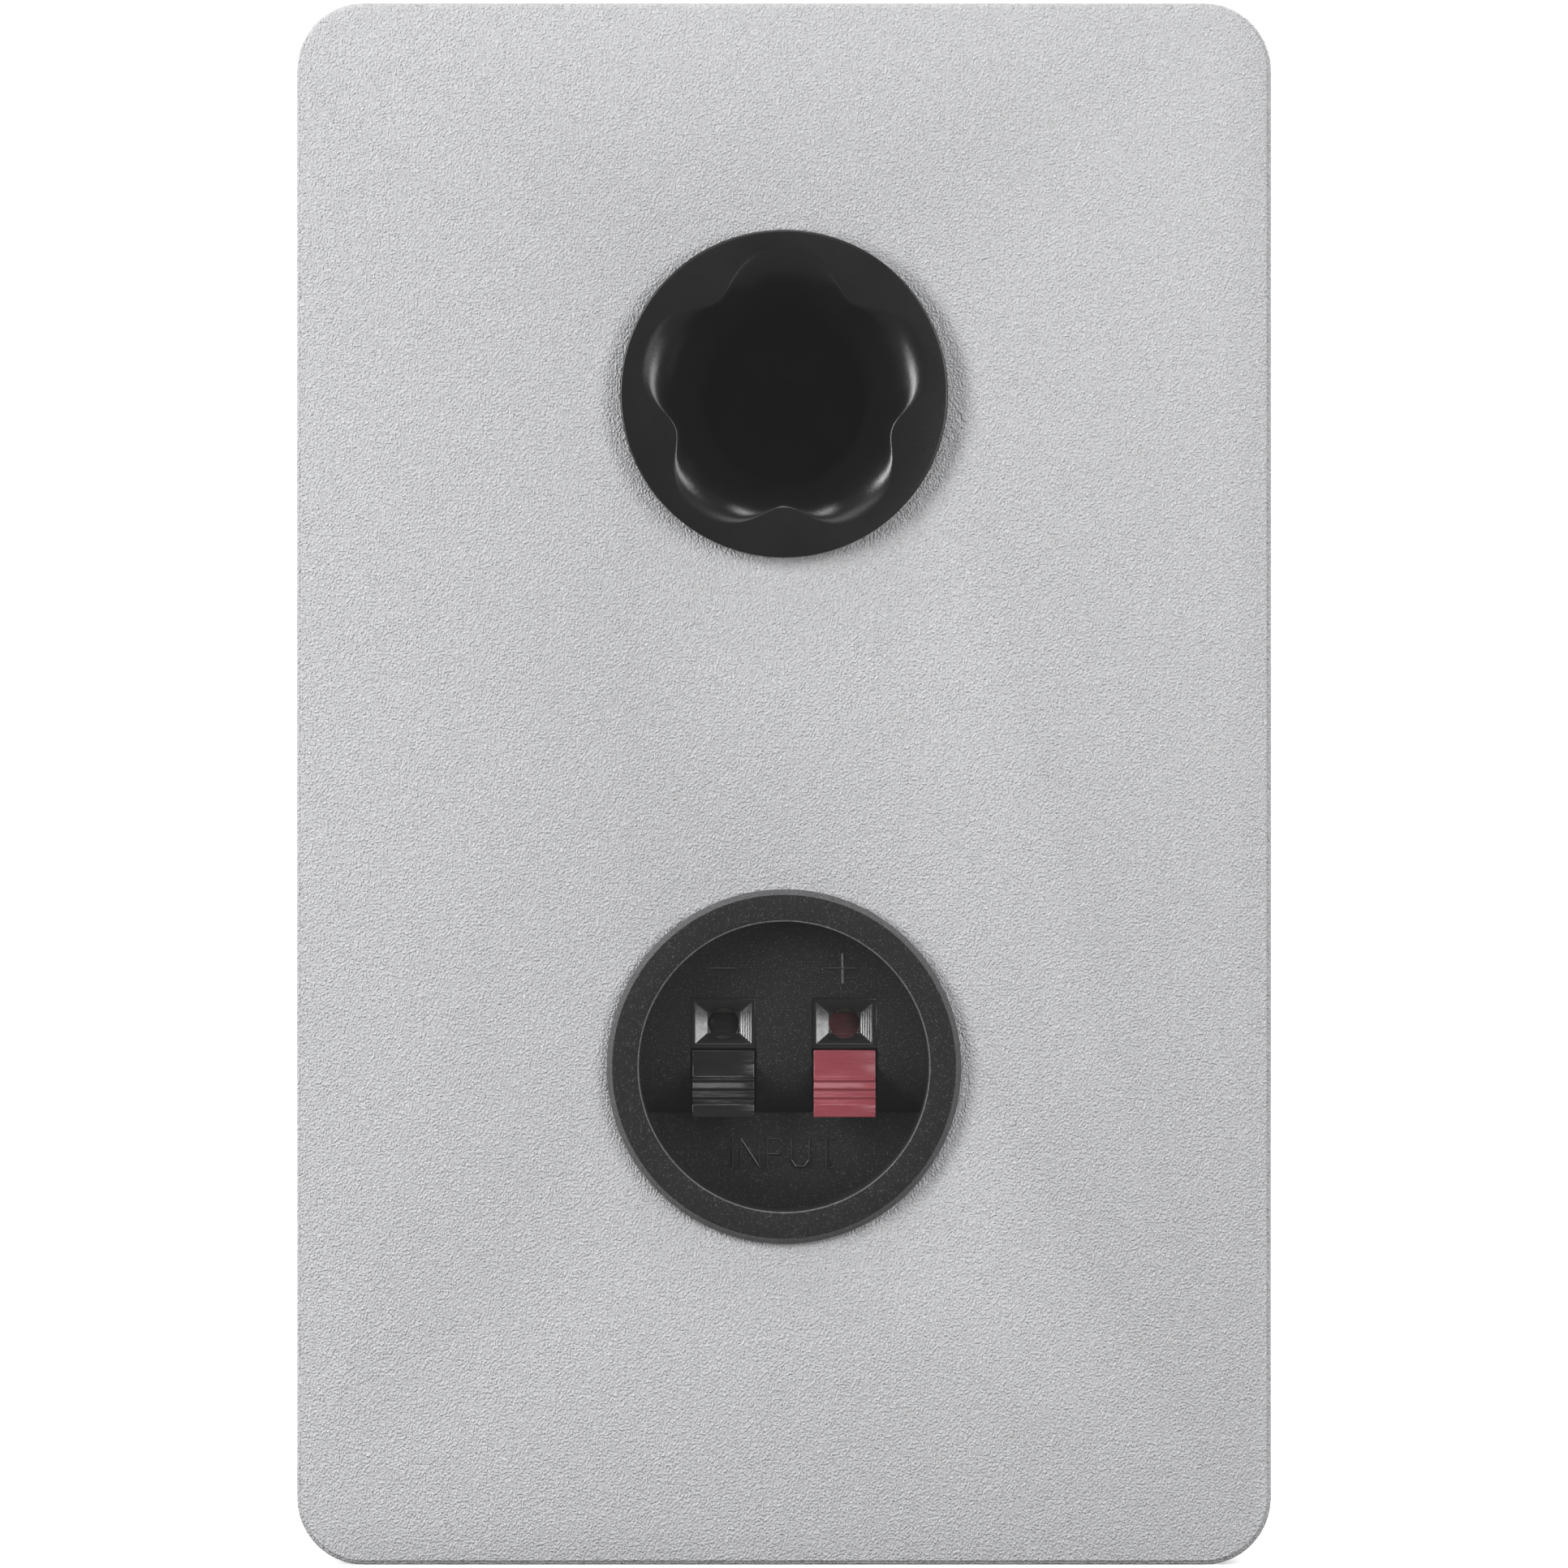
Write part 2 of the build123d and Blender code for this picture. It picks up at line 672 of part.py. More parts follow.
def port_flare():
    """Flange, lobed flared mouth and the socket that grips the tube."""
    rim_y = back_y + rear_proud
    flange = slab(Circle(port_flange_radius), back_y, rim_y, z=port_z)
    rim = flange.edges().filter_by_position(Axis.Y, rim_y - 0.01, rim_y + 0.01)
    flange = fillet(rim, port_flange_edge)
    tube_radius = port_throat_radius + port_tube_wall
    socket_radius = tube_radius + port_wall + 0.6
    body = turned([(0, rear_proud), (port_body_radius, rear_proud), (port_body_radius, port_taper_depth),
                   (socket_radius, port_throat_depth), (socket_radius, port_socket_end_depth),
                   (0, port_socket_end_depth)], port_z, rim_y, -1.0)
    lobed, throat = port_mouth_space()
    socket = slab(Circle(tube_radius), rim_y - port_socket_end_depth, rim_y - port_stop_depth, z=port_z)
    return flange + body - socket - throat - lobed


def port_tube():
    """Rigid tube pushed into the flare's socket."""
    rim_y = back_y + rear_proud
    outline = Circle(port_throat_radius + port_tube_wall) - Circle(port_throat_radius)
    return slab(outline, rim_y - port_length, rim_y - port_stop_depth, z=port_z)


# ================================================================ terminal cup
def cup_point(depth, height):
    """A (y, z) point from a depth behind the rim and a height above the cup's centre."""
    return (cup_rim_y - depth, cup_z + height)


def cup_block(x_low, x_high, depth_low, depth_high, low, high):
    """A block in the cup, given by depths behind the rim and heights about the cup's centre."""
    return bar(x_low, x_high, cup_rim_y - depth_high, cup_rim_y - depth_low, cup_z + low, cup_z + high)


def scoop_arc(extra, steps=6):
    """Points down the scoop under the wire windows, moved inward by extra."""
    drop = cup_scoop_start_z - cup_ledge_z
    last = math.asin(drop / cup_scoop_radius)
    points = []
    for step in range(steps + 1):
        angle = last * step / steps
        depth = cup_upper_floor + cup_scoop_radius * (1 - math.cos(angle)) + extra
        points.append((depth, cup_scoop_start_z - cup_scoop_radius * math.sin(angle)))
    return points


def cup_floor_line(extra):
    """The floor from top to bottom as (depth, height): flat, scoop, ledge, falling lower floor."""
    shifted = [(depth + extra, height - 0.5 * extra) for depth, height in cup_lower_floor]
    return [(cup_upper_floor + extra, 23.0)] + scoop_arc(extra) + shifted


def clip_slots():
    """The two tall openings that hold a wire funnel above and a lever below."""
    slots = []
    for side in (-1, 1):
        middle = side * clip_pitch / 2
        slots.append(cup_block(middle - slot_width / 2, middle + slot_width / 2, 2, 13,
                               slot_bottom_z, window_top_z))
    return slots


def terminal_cup():
    """Round moulded cup with a stepped floor, lever slots, pin ribs and a spring shelf."""
    flange = slab(Circle(cup_flange_radius), back_y, cup_rim_y, z=cup_z)
    rim = flange.edges().filter_by_position(Axis.Y, cup_rim_y - 0.01, cup_rim_y + 0.01)
    flange = chamfer(rim, cup_chamfer)
    body = slab(Circle(cup_body_radius), cup_rim_y - cup_depth, back_y, z=cup_z)
    front_line = [cup_point(*p) for p in cup_floor_line(0)]
    front_space = profile_across(front_line + [cup_point(-2, -23), cup_point(-2, 23)], 0, 60)
    mouth = slab(Circle(cup_mouth_radius), cup_rim_y - 14, cup_rim_y + 1, z=cup_z)
    rear_line = [cup_point(*p) for p in cup_floor_line(cup_floor_thickness)]
    rear_space = profile_across(rear_line + [cup_point(32, -24), cup_point(32, 23)], 0, 60)
    cavity = slab(Circle(cup_cavity_radius), cup_rim_y - cup_depth - 1, cup_rim_y - 6, z=cup_z)
    cup = flange + body - (front_space & mouth) - (rear_space & cavity)
    for side in (-1, 1):
        for inner in (rib_inner_x, rib_outer_x):
            low, high = sorted((side * inner, side * (inner + rib_thickness)))
            cup += cup_block(low, high, rib_front_depth, rib_back_depth, -rib_half_height, rib_half_height)
    cup += cup_block(-shelf_half_width, shelf_half_width, shelf_front_depth, shelf_back_depth,
                     spring_seat_z - shelf_thickness, spring_seat_z)
    for slot in clip_slots():
        cup -= slot
    pin_start = (-rib_outer_x - rib_thickness, cup_rim_y - pivot_depth, cup_z)
    cup -= round_bar(pin_radius, pin_start, 2 * (rib_outer_x + rib_thickness), (1, 0, 0))
    return cup


def terminal_rear_cover():
    """Disc that closes the back of the cup, slotted for the two contact strips."""
    cover_y = cup_rim_y - cup_cover_depth
    cover = slab(Circle(cup_cavity_radius), cover_y - cup_cover_thickness, cover_y, z=cup_z)
    for side in (-1, 1):
        cover -= contact_plate(side)
    return cover


def wire_funnel(side):
    """Glossy insert with a pyramid lead-in and a round wire hole."""
    middle = side * clip_pitch / 2
    half = slot_width / 2
    insert = cup_block(middle - half, middle + half, funnel_front_depth, funnel_back_depth,
                       window_bottom_z, window_top_z)
    mid_z = cup_z + (window_bottom_z + window_top_z) / 2
    wide = across(cup_rim_y - funnel_front_depth, middle, mid_z) * Rectangle(*funnel_mouth)
    narrow = across(cup_rim_y - funnel_foot_depth, middle, mid_z) * Rectangle(*funnel_foot)
    insert -= loft([wide, narrow])
    hole = slab(Circle(wire_hole_radius), cup_rim_y - funnel_back_depth - 1,
                cup_rim_y - funnel_front_depth + 1, x=middle, z=cup_z + wire_hole_z)
    return insert - hole


def clip_lever(side):
    """Push lever: ribbed thumb tab, arm, wire shutter and pivot boss in one moulding."""
    middle = side * clip_pitch / 2
    lever = profile_across([cup_point(*p) for p in lever_outline], middle, lever_width)
    boss_start = (middle - lever_width / 2, cup_rim_y - pivot_depth, cup_z)
    lever += round_bar(lever_boss_radius, boss_start, lever_width, (1, 0, 0))
    return lever - round_bar(pin_radius + pin_clearance, boss_start, lever_width, (1, 0, 0))


def lever_pivot_pin():
    start = (-rib_outer_x - rib_thickness, cup_rim_y - pivot_depth, cup_z)
    return round_bar(pin_radius, start, 2 * (rib_outer_x + rib_thickness), (1, 0, 0))


def contact_plate(side):
    """Tinned strip above the wire with a stop tab, ending in a push-on blade behind the cup."""
    middle = side * clip_pitch / 2
    half = contact_width / 2
    strip = cup_block(middle - half, middle + half, contact_front_depth, contact_end_depth,
                      contact_z, contact_z + contact_thickness)
    return strip + cup_block(middle - half, middle + half, contact_stop_depth,
                             contact_stop_depth + contact_thickness, contact_stop_z, contact_z)


def clip_spring(side):
    """Coil spring that pushes the lever up against the wire."""
    height = lever_arm_z - spring_seat_z - 2 * spring_wire_radius
    base = (side * clip_pitch / 2, cup_rim_y - spring_depth, cup_z + spring_seat_z + spring_wire_radius)
    path = Pos(*base) * Helix(pitch=height / spring_turns, height=height, radius=spring_radius)
    section = Plane(origin=path @ 0, z_dir=path % 0) * Circle(spring_wire_radius)
    return sweep(section, path=path, is_frenet=True)


# ================================================================ crossover and wiring
def board_screw_places():
    return [(x, y) for x in (-board_screw_x, board_screw_x) for y in board_screw_y]


def crossover_board():
    board = bar(-board_half_width, board_half_width, board_front_y, board_rear_y, board_z, board_top_z)
    for x, y in board_screw_places():
        board -= round_bar(screw_shank_radius, (x, y, board_z), board_thickness, (0, 0, 1))
    return board


def board_standoffs():
    posts = []
    for x, y in board_screw_places():
        post = round_bar(standoff_radius, (x, y, floor_inside_z), board_z - floor_inside_z, (0, 0, 1))
        posts.append(post - round_bar(screw_shank_radius, (x, y, floor_inside_z), 6, (0, 0, 1)))
    return Compound(children=posts)


def board_screws():
    screws = []
    for x, y in board_screw_places():
        shank = round_bar(screw_shank_radius, (x, y, board_pilot_z), board_top_z - board_pilot_z, (0, 0, 1))
        screws.append(shank + round_bar(pan_head_radius, (x, y, board_top_z), pan_head_height, (0, 0, 1)))
    return Compound(children=screws)


def crossover_capacitor():
    can = round_bar(capacitor_radius, (-28, 47, board_top_z + capacitor_radius), capacitor_length, (1, 0, 0))
    return fillet(can.edges(), 0.8)


def crossover_inductor():
    winding = Circle(inductor_radii[1]) - Circle(inductor_radii[0])
    return extrude(Plane(origin=(16, 44, board_top_z), z_dir=(0, 0, 1)) * winding, amount=inductor_height)


def crossover_resistor():
    block = Pos(-16, 32.5, board_top_z + resistor_size[2] / 2) * Box(*resistor_size)
    return fillet(block.edges(), 0.6)


def spade_connectors():
    """Push-on connectors at the cup, the woofer and the tweeter."""
    spades = []
    for side in (-1, 1):
        spades.append(spade(side * clip_pitch / 2, cup_spade_y, cup_blade_z, -1))
        spades.append(spade(side * woofer_blade_x, woofer_spade_y, woofer_blade_z, 1))
        spades.append(spade(side * tweeter_blade_x, tweeter_spade_y, tweeter_blade_z, 1))
    return Compound(children=spades)


def wire_routes(side):
    """Hand-laid routes from each connector to the board, for one side."""
    cup_y = spade_tail(cup_spade_y, -1)
    woofer_y = spade_tail(woofer_spade_y, 1)
    tweeter_y = spade_tail(tweeter_spade_y, 1)
    clip_x = clip_pitch / 2
    routes = {
        "input_wire": [(clip_x, cup_y, cup_blade_z), (clip_x, cup_y - 18, cup_blade_z),
                       (clip_x, cup_y - 23, cup_blade_z - 30), (5, landing_y, board_top_z + 22)],
        "woofer_wire": [(woofer_blade_x, woofer_y, woofer_blade_z),
                        (woofer_blade_x, woofer_y + 22, woofer_blade_z),
                        (13, -16, woofer_blade_z - 38), (16, -4, 56), (15, landing_y, board_top_z + 20)],
        "tweeter_wire": [(tweeter_blade_x, tweeter_y, tweeter_blade_z),
                         (tweeter_blade_x, tweeter_y + 20, tweeter_blade_z), (27, -24, 140), (36, -16, 98),
                         (33, -2, 60), (25, landing_y, board_top_z + 20)],
    }
    for route in routes.values():
        x, y, z = route[-1]
        route.append((x, y, board_top_z))
    return {name: [(side * x, y, z) for x, y, z in route] for name, route in routes.items()}


# ================================================================ write every piece
def all_pieces():
    pieces = carcass_panels()
    pieces.update(woofer_pieces())
    pieces.update(tweeter_pieces())
    pieces["carcass_vinyl_wrap"] = vinyl_sleeve()
    pieces["back_panel"] = back_board()
    pieces["back_vinyl_skin"] = back_vinyl()
    pieces["front_baffle"] = baffle()
    pieces["damping_pads"] = damping_pads()
    pieces["woofer_tinsel_leads"] = woofer_tinsel_leads()
    pieces["woofer_screws"] = Compound(children=[driver_screw(x, z) for x, z in woofer_screw_places()])
    pieces["tweeter_screws"] = Compound(children=[driver_screw(x, z) for x, z in tweeter_screw_places()])
    pieces["port_flare"] = port_flare()
    pieces["port_tube"] = port_tube()
    pieces["terminal_cup"] = terminal_cup()
    pieces["terminal_rear_cover"] = terminal_rear_cover()
    pieces["lever_pivot_pin"] = lever_pivot_pin()
    for name, side in (("negative", 1), ("positive", -1)):
        pieces["wire_funnel_" + name] = wire_funnel(side)
        pieces["clip_lever_" + name] = clip_lever(side)
        pieces["contact_plate_" + name] = contact_plate(side)
        pieces["clip_spring_" + name] = clip_spring(side)
    pieces["crossover_board"] = crossover_board()
    pieces["board_standoffs"] = board_standoffs()
    pieces["board_screws"] = board_screws()
    pieces["crossover_capacitor"] = crossover_capacitor()
    pieces["crossover_inductor"] = crossover_inductor()
    pieces["crossover_resistor"] = crossover_resistor()
    pieces["spade_connectors"] = spade_connectors()
    for colour, side in (("black", 1), ("red", -1)):
        for name, route in wire_routes(side).items():
            pieces[name + "_" + colour] = cord(route, wire_radius)
    return pieces


os.makedirs("parts", exist_ok=True)
for node, shape in all_pieces().items():
    save(node, shape)
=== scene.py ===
import bpy
import bmesh
import json
import math
import mathutils
from mathutils import Matrix, Vector

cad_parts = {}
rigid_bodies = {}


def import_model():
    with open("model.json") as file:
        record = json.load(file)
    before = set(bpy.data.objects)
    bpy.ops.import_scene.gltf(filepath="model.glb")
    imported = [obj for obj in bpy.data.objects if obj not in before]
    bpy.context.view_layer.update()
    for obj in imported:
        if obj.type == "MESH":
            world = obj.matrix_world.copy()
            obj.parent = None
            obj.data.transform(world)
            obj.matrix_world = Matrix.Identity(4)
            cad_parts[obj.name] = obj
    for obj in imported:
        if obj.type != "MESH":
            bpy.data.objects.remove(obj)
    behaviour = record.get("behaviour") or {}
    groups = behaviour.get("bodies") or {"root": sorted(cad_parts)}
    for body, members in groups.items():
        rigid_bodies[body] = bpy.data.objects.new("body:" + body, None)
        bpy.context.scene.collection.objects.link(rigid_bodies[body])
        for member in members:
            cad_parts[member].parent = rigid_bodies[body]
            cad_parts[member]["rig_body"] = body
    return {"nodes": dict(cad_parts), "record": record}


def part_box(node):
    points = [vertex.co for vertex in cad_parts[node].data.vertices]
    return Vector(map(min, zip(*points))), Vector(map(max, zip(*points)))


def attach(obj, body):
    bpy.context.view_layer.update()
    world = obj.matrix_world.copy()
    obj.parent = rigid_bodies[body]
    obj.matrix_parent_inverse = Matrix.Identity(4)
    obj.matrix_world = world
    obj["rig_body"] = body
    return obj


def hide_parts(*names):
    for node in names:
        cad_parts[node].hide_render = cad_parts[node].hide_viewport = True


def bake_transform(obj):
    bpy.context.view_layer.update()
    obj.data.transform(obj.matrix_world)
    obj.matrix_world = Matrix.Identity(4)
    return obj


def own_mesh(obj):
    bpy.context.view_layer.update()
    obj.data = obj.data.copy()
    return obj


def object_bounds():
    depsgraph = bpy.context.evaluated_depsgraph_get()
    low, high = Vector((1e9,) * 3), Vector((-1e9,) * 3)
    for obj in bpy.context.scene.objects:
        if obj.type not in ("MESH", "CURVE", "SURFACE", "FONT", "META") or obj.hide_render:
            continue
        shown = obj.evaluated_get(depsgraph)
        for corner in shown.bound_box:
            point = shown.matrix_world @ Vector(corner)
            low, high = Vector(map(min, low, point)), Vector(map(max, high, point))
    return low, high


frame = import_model()
cad_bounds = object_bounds()

MM = 0.001
VEIL = 0.0130                # how far the picture's blacks are lifted
WAVE_NODE_PITCH = 0.314      # metres between the bands of a wave texture at scale 1
CAMERA_DISTANCE = 1.175
CABINET_SHARE = 0.62164      # of the picture's width that the cabinet fills
SENSOR_WIDTH = 36.0
FLOOR_HALF = 6.0
FLOOR_SEEN = (0.95, 0.95, 0.95)
FLOOR_AS_LIGHT = (0.12, 0.12, 0.12)
FLOOR_GLOW = 0.45
WORLD_SEEN = 1.05
WORLD_AS_LIGHT = 0.13
NODES = frame["nodes"]
MOUNTS = {mount["name"]: mount for mount in frame["record"]["mounts"]}
CUP_MOUTH_RADIUS = 21.7 * MM
CUP_CHAMFER = 0.8 * MM
REAR_PROUD = 2.0 * MM


# ================================================================ node-tree helpers
def start_material(name, color, roughness, metallic=0.0, specular=0.5):
    """A Principled material with its constants set on the shader itself."""
    made = bpy.data.materials.new(name)
    made.use_nodes = True
    shader = made.node_tree.nodes["Principled BSDF"]
    shader.inputs["Base Color"].default_value = (*color, 1.0)
    shader.inputs["Roughness"].default_value = roughness
    shader.inputs["Metallic"].default_value = metallic
    shader.inputs["Specular IOR Level"].default_value = specular
    return made, made.node_tree, shader


def object_coords(tree, scale=(1.0, 1.0, 1.0), turn=(0.0, 0.0, 0.0)):
    """Coordinates in metres that stay with the piece."""
    source = tree.nodes.new("ShaderNodeTexCoord")
    mapping = tree.nodes.new("ShaderNodeMapping")
    mapping.inputs["Scale"].default_value = scale
    mapping.inputs["Rotation"].default_value = turn
    tree.links.new(source.outputs["Object"], mapping.inputs["Vector"])
    return mapping.outputs["Vector"]


def noise(tree, vector, size, detail=3.0, rough=0.5, distortion=0.0):
    """Cloudy noise whose features are about size metres across."""
    made = tree.nodes.new("ShaderNodeTexNoise")
    made.inputs["Scale"].default_value = 1.0 / size
    made.inputs["Detail"].default_value = detail
    made.inputs["Roughness"].default_value = rough
    made.inputs["Distortion"].default_value = distortion
    tree.links.new(vector, made.inputs["Vector"])
    return made.outputs["Fac"]


def cells(tree, vector, size, feature="F1", randomness=1.0, smoothness=0.4):
    """Voronoi cells about size metres across."""
    made = tree.nodes.new("ShaderNodeTexVoronoi")
    made.feature = feature
    made.inputs["Scale"].default_value = 1.0 / size
    made.inputs["Randomness"].default_value = randomness
    if feature == "SMOOTH_F1":
        made.inputs["Smoothness"].default_value = smoothness
    tree.links.new(vector, made.inputs["Vector"])
    return made.outputs["Distance"]


def bands(tree, vector, size, direction="X", distortion=0.0, detail=0.0):
    """Parallel bands about size metres apart."""
    made = tree.nodes.new("ShaderNodeTexWave")
    made.wave_type = "BANDS"
    made.bands_direction = direction
    made.wave_profile = "SIN"
    made.inputs["Scale"].default_value = WAVE_NODE_PITCH / size
    made.inputs["Distortion"].default_value = distortion
    made.inputs["Detail"].default_value = detail
    tree.links.new(vector, made.inputs["Vector"])
    return made.outputs["Fac"]


def spread(tree, value, low_in, high_in, low_out, high_out, smooth=True):
    """Map a range of one value onto another."""
    made = tree.nodes.new("ShaderNodeMapRange")
    if smooth:
        made.interpolation_type = "SMOOTHSTEP"
    settings = (("From Min", low_in), ("From Max", high_in), ("To Min", low_out), ("To Max", high_out))
    for socket, number in settings:
        made.inputs[socket].default_value = number
    tree.links.new(value, made.inputs["Value"])
    return made.outputs["Result"]


def combine(tree, first, second, operation="ADD"):
    """Arithmetic on two values; a plain number is allowed for the second."""
    made = tree.nodes.new("ShaderNodeMath")
    made.operation = operation
    tree.links.new(first, made.inputs[0])
    if isinstance(second, (int, float)):
        made.inputs[1].default_value = second
    else:
        tree.links.new(second, made.inputs[1])
    return made.outputs[0]


def scaled(color, share):
    """A colour made darker or lighter, kept within white."""
    return [min(1.0, channel * share) for channel in color]


def tint(tree, shader, value, dark, light):
    """Base colour that runs from dark to light with a value."""
    made = tree.nodes.new("ShaderNodeMix")
    made.data_type = "RGBA"
    made.inputs["A"].default_value = (*dark, 1.0)
    made.inputs["B"].default_value = (*light, 1.0)
    tree.links.new(value, made.inputs["Factor"])
    tree.links.new(made.outputs["Result"], shader.inputs["Base Color"])
    return made.outputs["Result"]


def vary_roughness(tree, shader, value, low, high):
    tree.links.new(spread(tree, value, 0.3, 0.7, low, high), shader.inputs["Roughness"])


def bump(tree, shader, height, depth, under=None):
    """Add relief of the given depth in metres, on top of an earlier bump if there is one."""
    made = tree.nodes.new("ShaderNodeBump")
    made.inputs["Strength"].default_value = 1.0
    made.inputs["Distance"].default_value = depth
    tree.links.new(height, made.inputs["Height"])
    if under is not None:
        tree.links.new(under, made.inputs["Normal"])
    tree.links.new(made.outputs["Normal"], shader.inputs["Normal"])
    return made.outputs["Normal"]


# ================================================================ materials
def pebbled_vinyl(name, color):
    """Vinyl film embossed with a fine leather pebble."""
    made, tree, shader = start_material(name, color, 0.5, specular=0.45)
    place = object_coords(tree, (1.0, 1.0, 0.85))
    pebble = spread(tree, cells(tree, place, 0.40 * MM, "SMOOTH_F1", 1.0, 0.25), 0.05, 0.62, 1.0, 0.0)
    crease = noise(tree, place, 0.28 * MM, 1.0, 0.5)
    clouds = noise(tree, place, 30.0 * MM, 2.0)
    height = combine(tree, crease, combine(tree, pebble, 0.45, "MULTIPLY"))
    bump(tree, shader, height, 0.36 * MM)
    # painted shade: the base colour is darker in the low parts of the pebble relief and lighter on its tops,
    # with random broad clouds mixed in
    light = combine(tree, height, combine(tree, clouds, 0.15, "MULTIPLY"))
    shade = spread(tree, light, 0.55, 1.05, 0.0, 1.0)
    tint(tree, shader, shade, scaled(color, 0.86), scaled(color, 1.06))
    vary_roughness(tree, shader, crease, 0.36, 0.50)
    return made


def moulded_plastic(name, color, roughness, grain, relief):
    """Plastic with a fine moulded grain; grain is the cell size and relief its depth."""
    made, tree, shader = start_material(name, color, roughness)
    place = object_coords(tree)
    fine = noise(tree, place, grain, 4.0, 0.65)
    broad = noise(tree, place, 9.0 * MM, 2.0)
    bump(tree, shader, fine, relief)
    tint(tree, shader, combine(tree, fine, broad, "MULTIPLY"), scaled(color, 0.75), scaled(color, 1.25))
    vary_roughness(tree, shader, broad, roughness * 0.88, roughness * 1.12)
    return made


def round_edge(tree, centre, radius, near, far):
    """1 on a circle about a front-to-back axis, fading to 0 from near to far metres off it."""
    source = tree.nodes.new("ShaderNodeTexCoord")
    away = tree.nodes.new("ShaderNodeVectorMath")
    away.operation = "SUBTRACT"
    away.inputs[1].default_value = centre
    flat = tree.nodes.new("ShaderNodeVectorMath")
    flat.operation = "MULTIPLY"
    flat.inputs[1].default_value = (1.0, 0.0, 1.0)
    reach = tree.nodes.new("ShaderNodeVectorMath")
    reach.operation = "LENGTH"
    tree.links.new(source.outputs["Object"], away.inputs[0])
    tree.links.new(away.outputs["Vector"], flat.inputs[0])
    tree.links.new(flat.outputs["Vector"], reach.inputs[0])
    gap = combine(tree, combine(tree, reach.outputs["Value"], radius, "SUBTRACT"), 0.0, "ABSOLUTE")
    return spread(tree, gap, near, far, 1.0, 0.0)


def sanded_plastic(name, color, glint, edge_highlight_color):
    """Spark-eroded black plastic: painted glints on the grain's tips, painted highlights on both round edges.
    """
    made, tree, shader = start_material(name, color, 0.42, specular=0.26)
    place = object_coords(tree)
    coarse = noise(tree, place, 0.27 * MM, 2.0, 0.65)
    fine = noise(tree, place, 0.13 * MM, 3.0, 0.7)
    bump(tree, shader, combine(tree, fine, coarse), 0.12 * MM)
    low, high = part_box("terminal_cup")
    centre = (0.0, 0.0, (low.z + high.z) / 2)
    # painted highlight: a lighter band of base colour on the outer chamfer and on the mouth's inner edge
    outer = round_edge(tree, centre, (high.x - low.x) / 2, CUP_CHAMFER, CUP_CHAMFER + 0.06 * MM)
    edge_radius = CUP_MOUTH_RADIUS + 0.12 * MM
    inner = round_edge(tree, centre, edge_radius, 0.05 * MM, 0.14 * MM)
    outer_grain = combine(tree, coarse, 1.9, "MULTIPLY")
    inner_grain = combine(tree, coarse, 0.75, "MULTIPLY")
    outer_edge_highlight = combine(tree, combine(tree, outer, 0.27, "MULTIPLY"), outer_grain, "MULTIPLY")
    inner_edge_highlight = combine(tree, inner, inner_grain, "MULTIPLY")
    painted_edge_highlight = combine(tree, outer_edge_highlight, inner_edge_highlight, "MAXIMUM")
    # painted glint: the grain's highest tips get a lighter base colour
    tips = spread(tree, combine(tree, fine, coarse), 1.10, 1.30, 0.0, 1.0)
    glint_tinted_base = tint(tree, shader, tips, color, glint)
    edge_highlight_mix = tree.nodes.new("ShaderNodeMix")
    edge_highlight_mix.data_type = "RGBA"
    edge_highlight_mix.inputs["B"].default_value = (*edge_highlight_color, 1.0)
    tree.links.new(painted_edge_highlight, edge_highlight_mix.inputs["Factor"])
    tree.links.new(glint_tinted_base, edge_highlight_mix.inputs["A"])
    tree.links.new(edge_highlight_mix.outputs["Result"], shader.inputs["Base Color"])
    # the roughness is also lower along the two painted highlight bands
    rough = spread(tree, coarse, 0.3, 0.7, 0.34, 0.50)
    smoothed = combine(tree, rough, combine(tree, painted_edge_highlight, 0.16, "MULTIPLY"), "SUBTRACT")
    tree.links.new(smoothed, shader.inputs["Roughness"])
    return made


def machined_gloss(name, color):
    """Gloss plastic with faint upright tool lines."""
    made, tree, shader = start_material(name, color, 0.16, specular=0.7)
    place = object_coords(tree)
    lines = bands(tree, place, 0.36 * MM, "X", 0.5, 1.0)
    fine = noise(tree, place, 0.6 * MM, 3.0)
    bump(tree, shader, combine(tree, lines, combine(tree, fine, 0.5, "MULTIPLY")), 0.004 * MM)
    tint(tree, shader, fine, scaled(color, 0.8), scaled(color, 1.3))
    vary_roughness(tree, shader, fine, 0.14, 0.24)
    return made


def fluted_gloss(name, color, flecks):
    """Moulded lever plastic: glossy, with fine lines drawn along the ribs."""
    made, tree, shader = start_material(name, color, 0.17, specular=0.6)
    drawn = noise(tree, object_coords(tree, (0.12, 1.0, 1.0)), 0.55 * MM, 3.0, 0.6)
    wave = noise(tree, object_coords(tree, (0.35, 1.0, 1.0)), 2.2 * MM, 2.0)
    under = bump(tree, shader, wave, 0.06 * MM)
    bump(tree, shader, drawn, 0.045 * MM, under)
    tint(tree, shader, drawn, scaled(color, 0.86), flecks)
    vary_roughness(tree, shader, wave, 0.13, 0.22)
    return made


def satin_paint(name, color):
    """Sprayed satin paint on board, with a fine orange peel."""
    made, tree, shader = start_material(name, color, 0.42, specular=0.5)
    place = object_coords(tree)
    peel = noise(tree, place, 1.1 * MM, 2.0, 0.45)
    dust = noise(tree, place, 0.25 * MM, 3.0)
    broad = noise(tree, place, 22.0 * MM, 2.0)
    under = bump(tree, shader, peel, 0.035 * MM)
    bump(tree, shader, dust, 0.008 * MM, under)
    tint(tree, shader, broad, scaled(color, 0.9), scaled(color, 1.1))
    vary_roughness(tree, shader, broad, 0.36, 0.47)
    return made


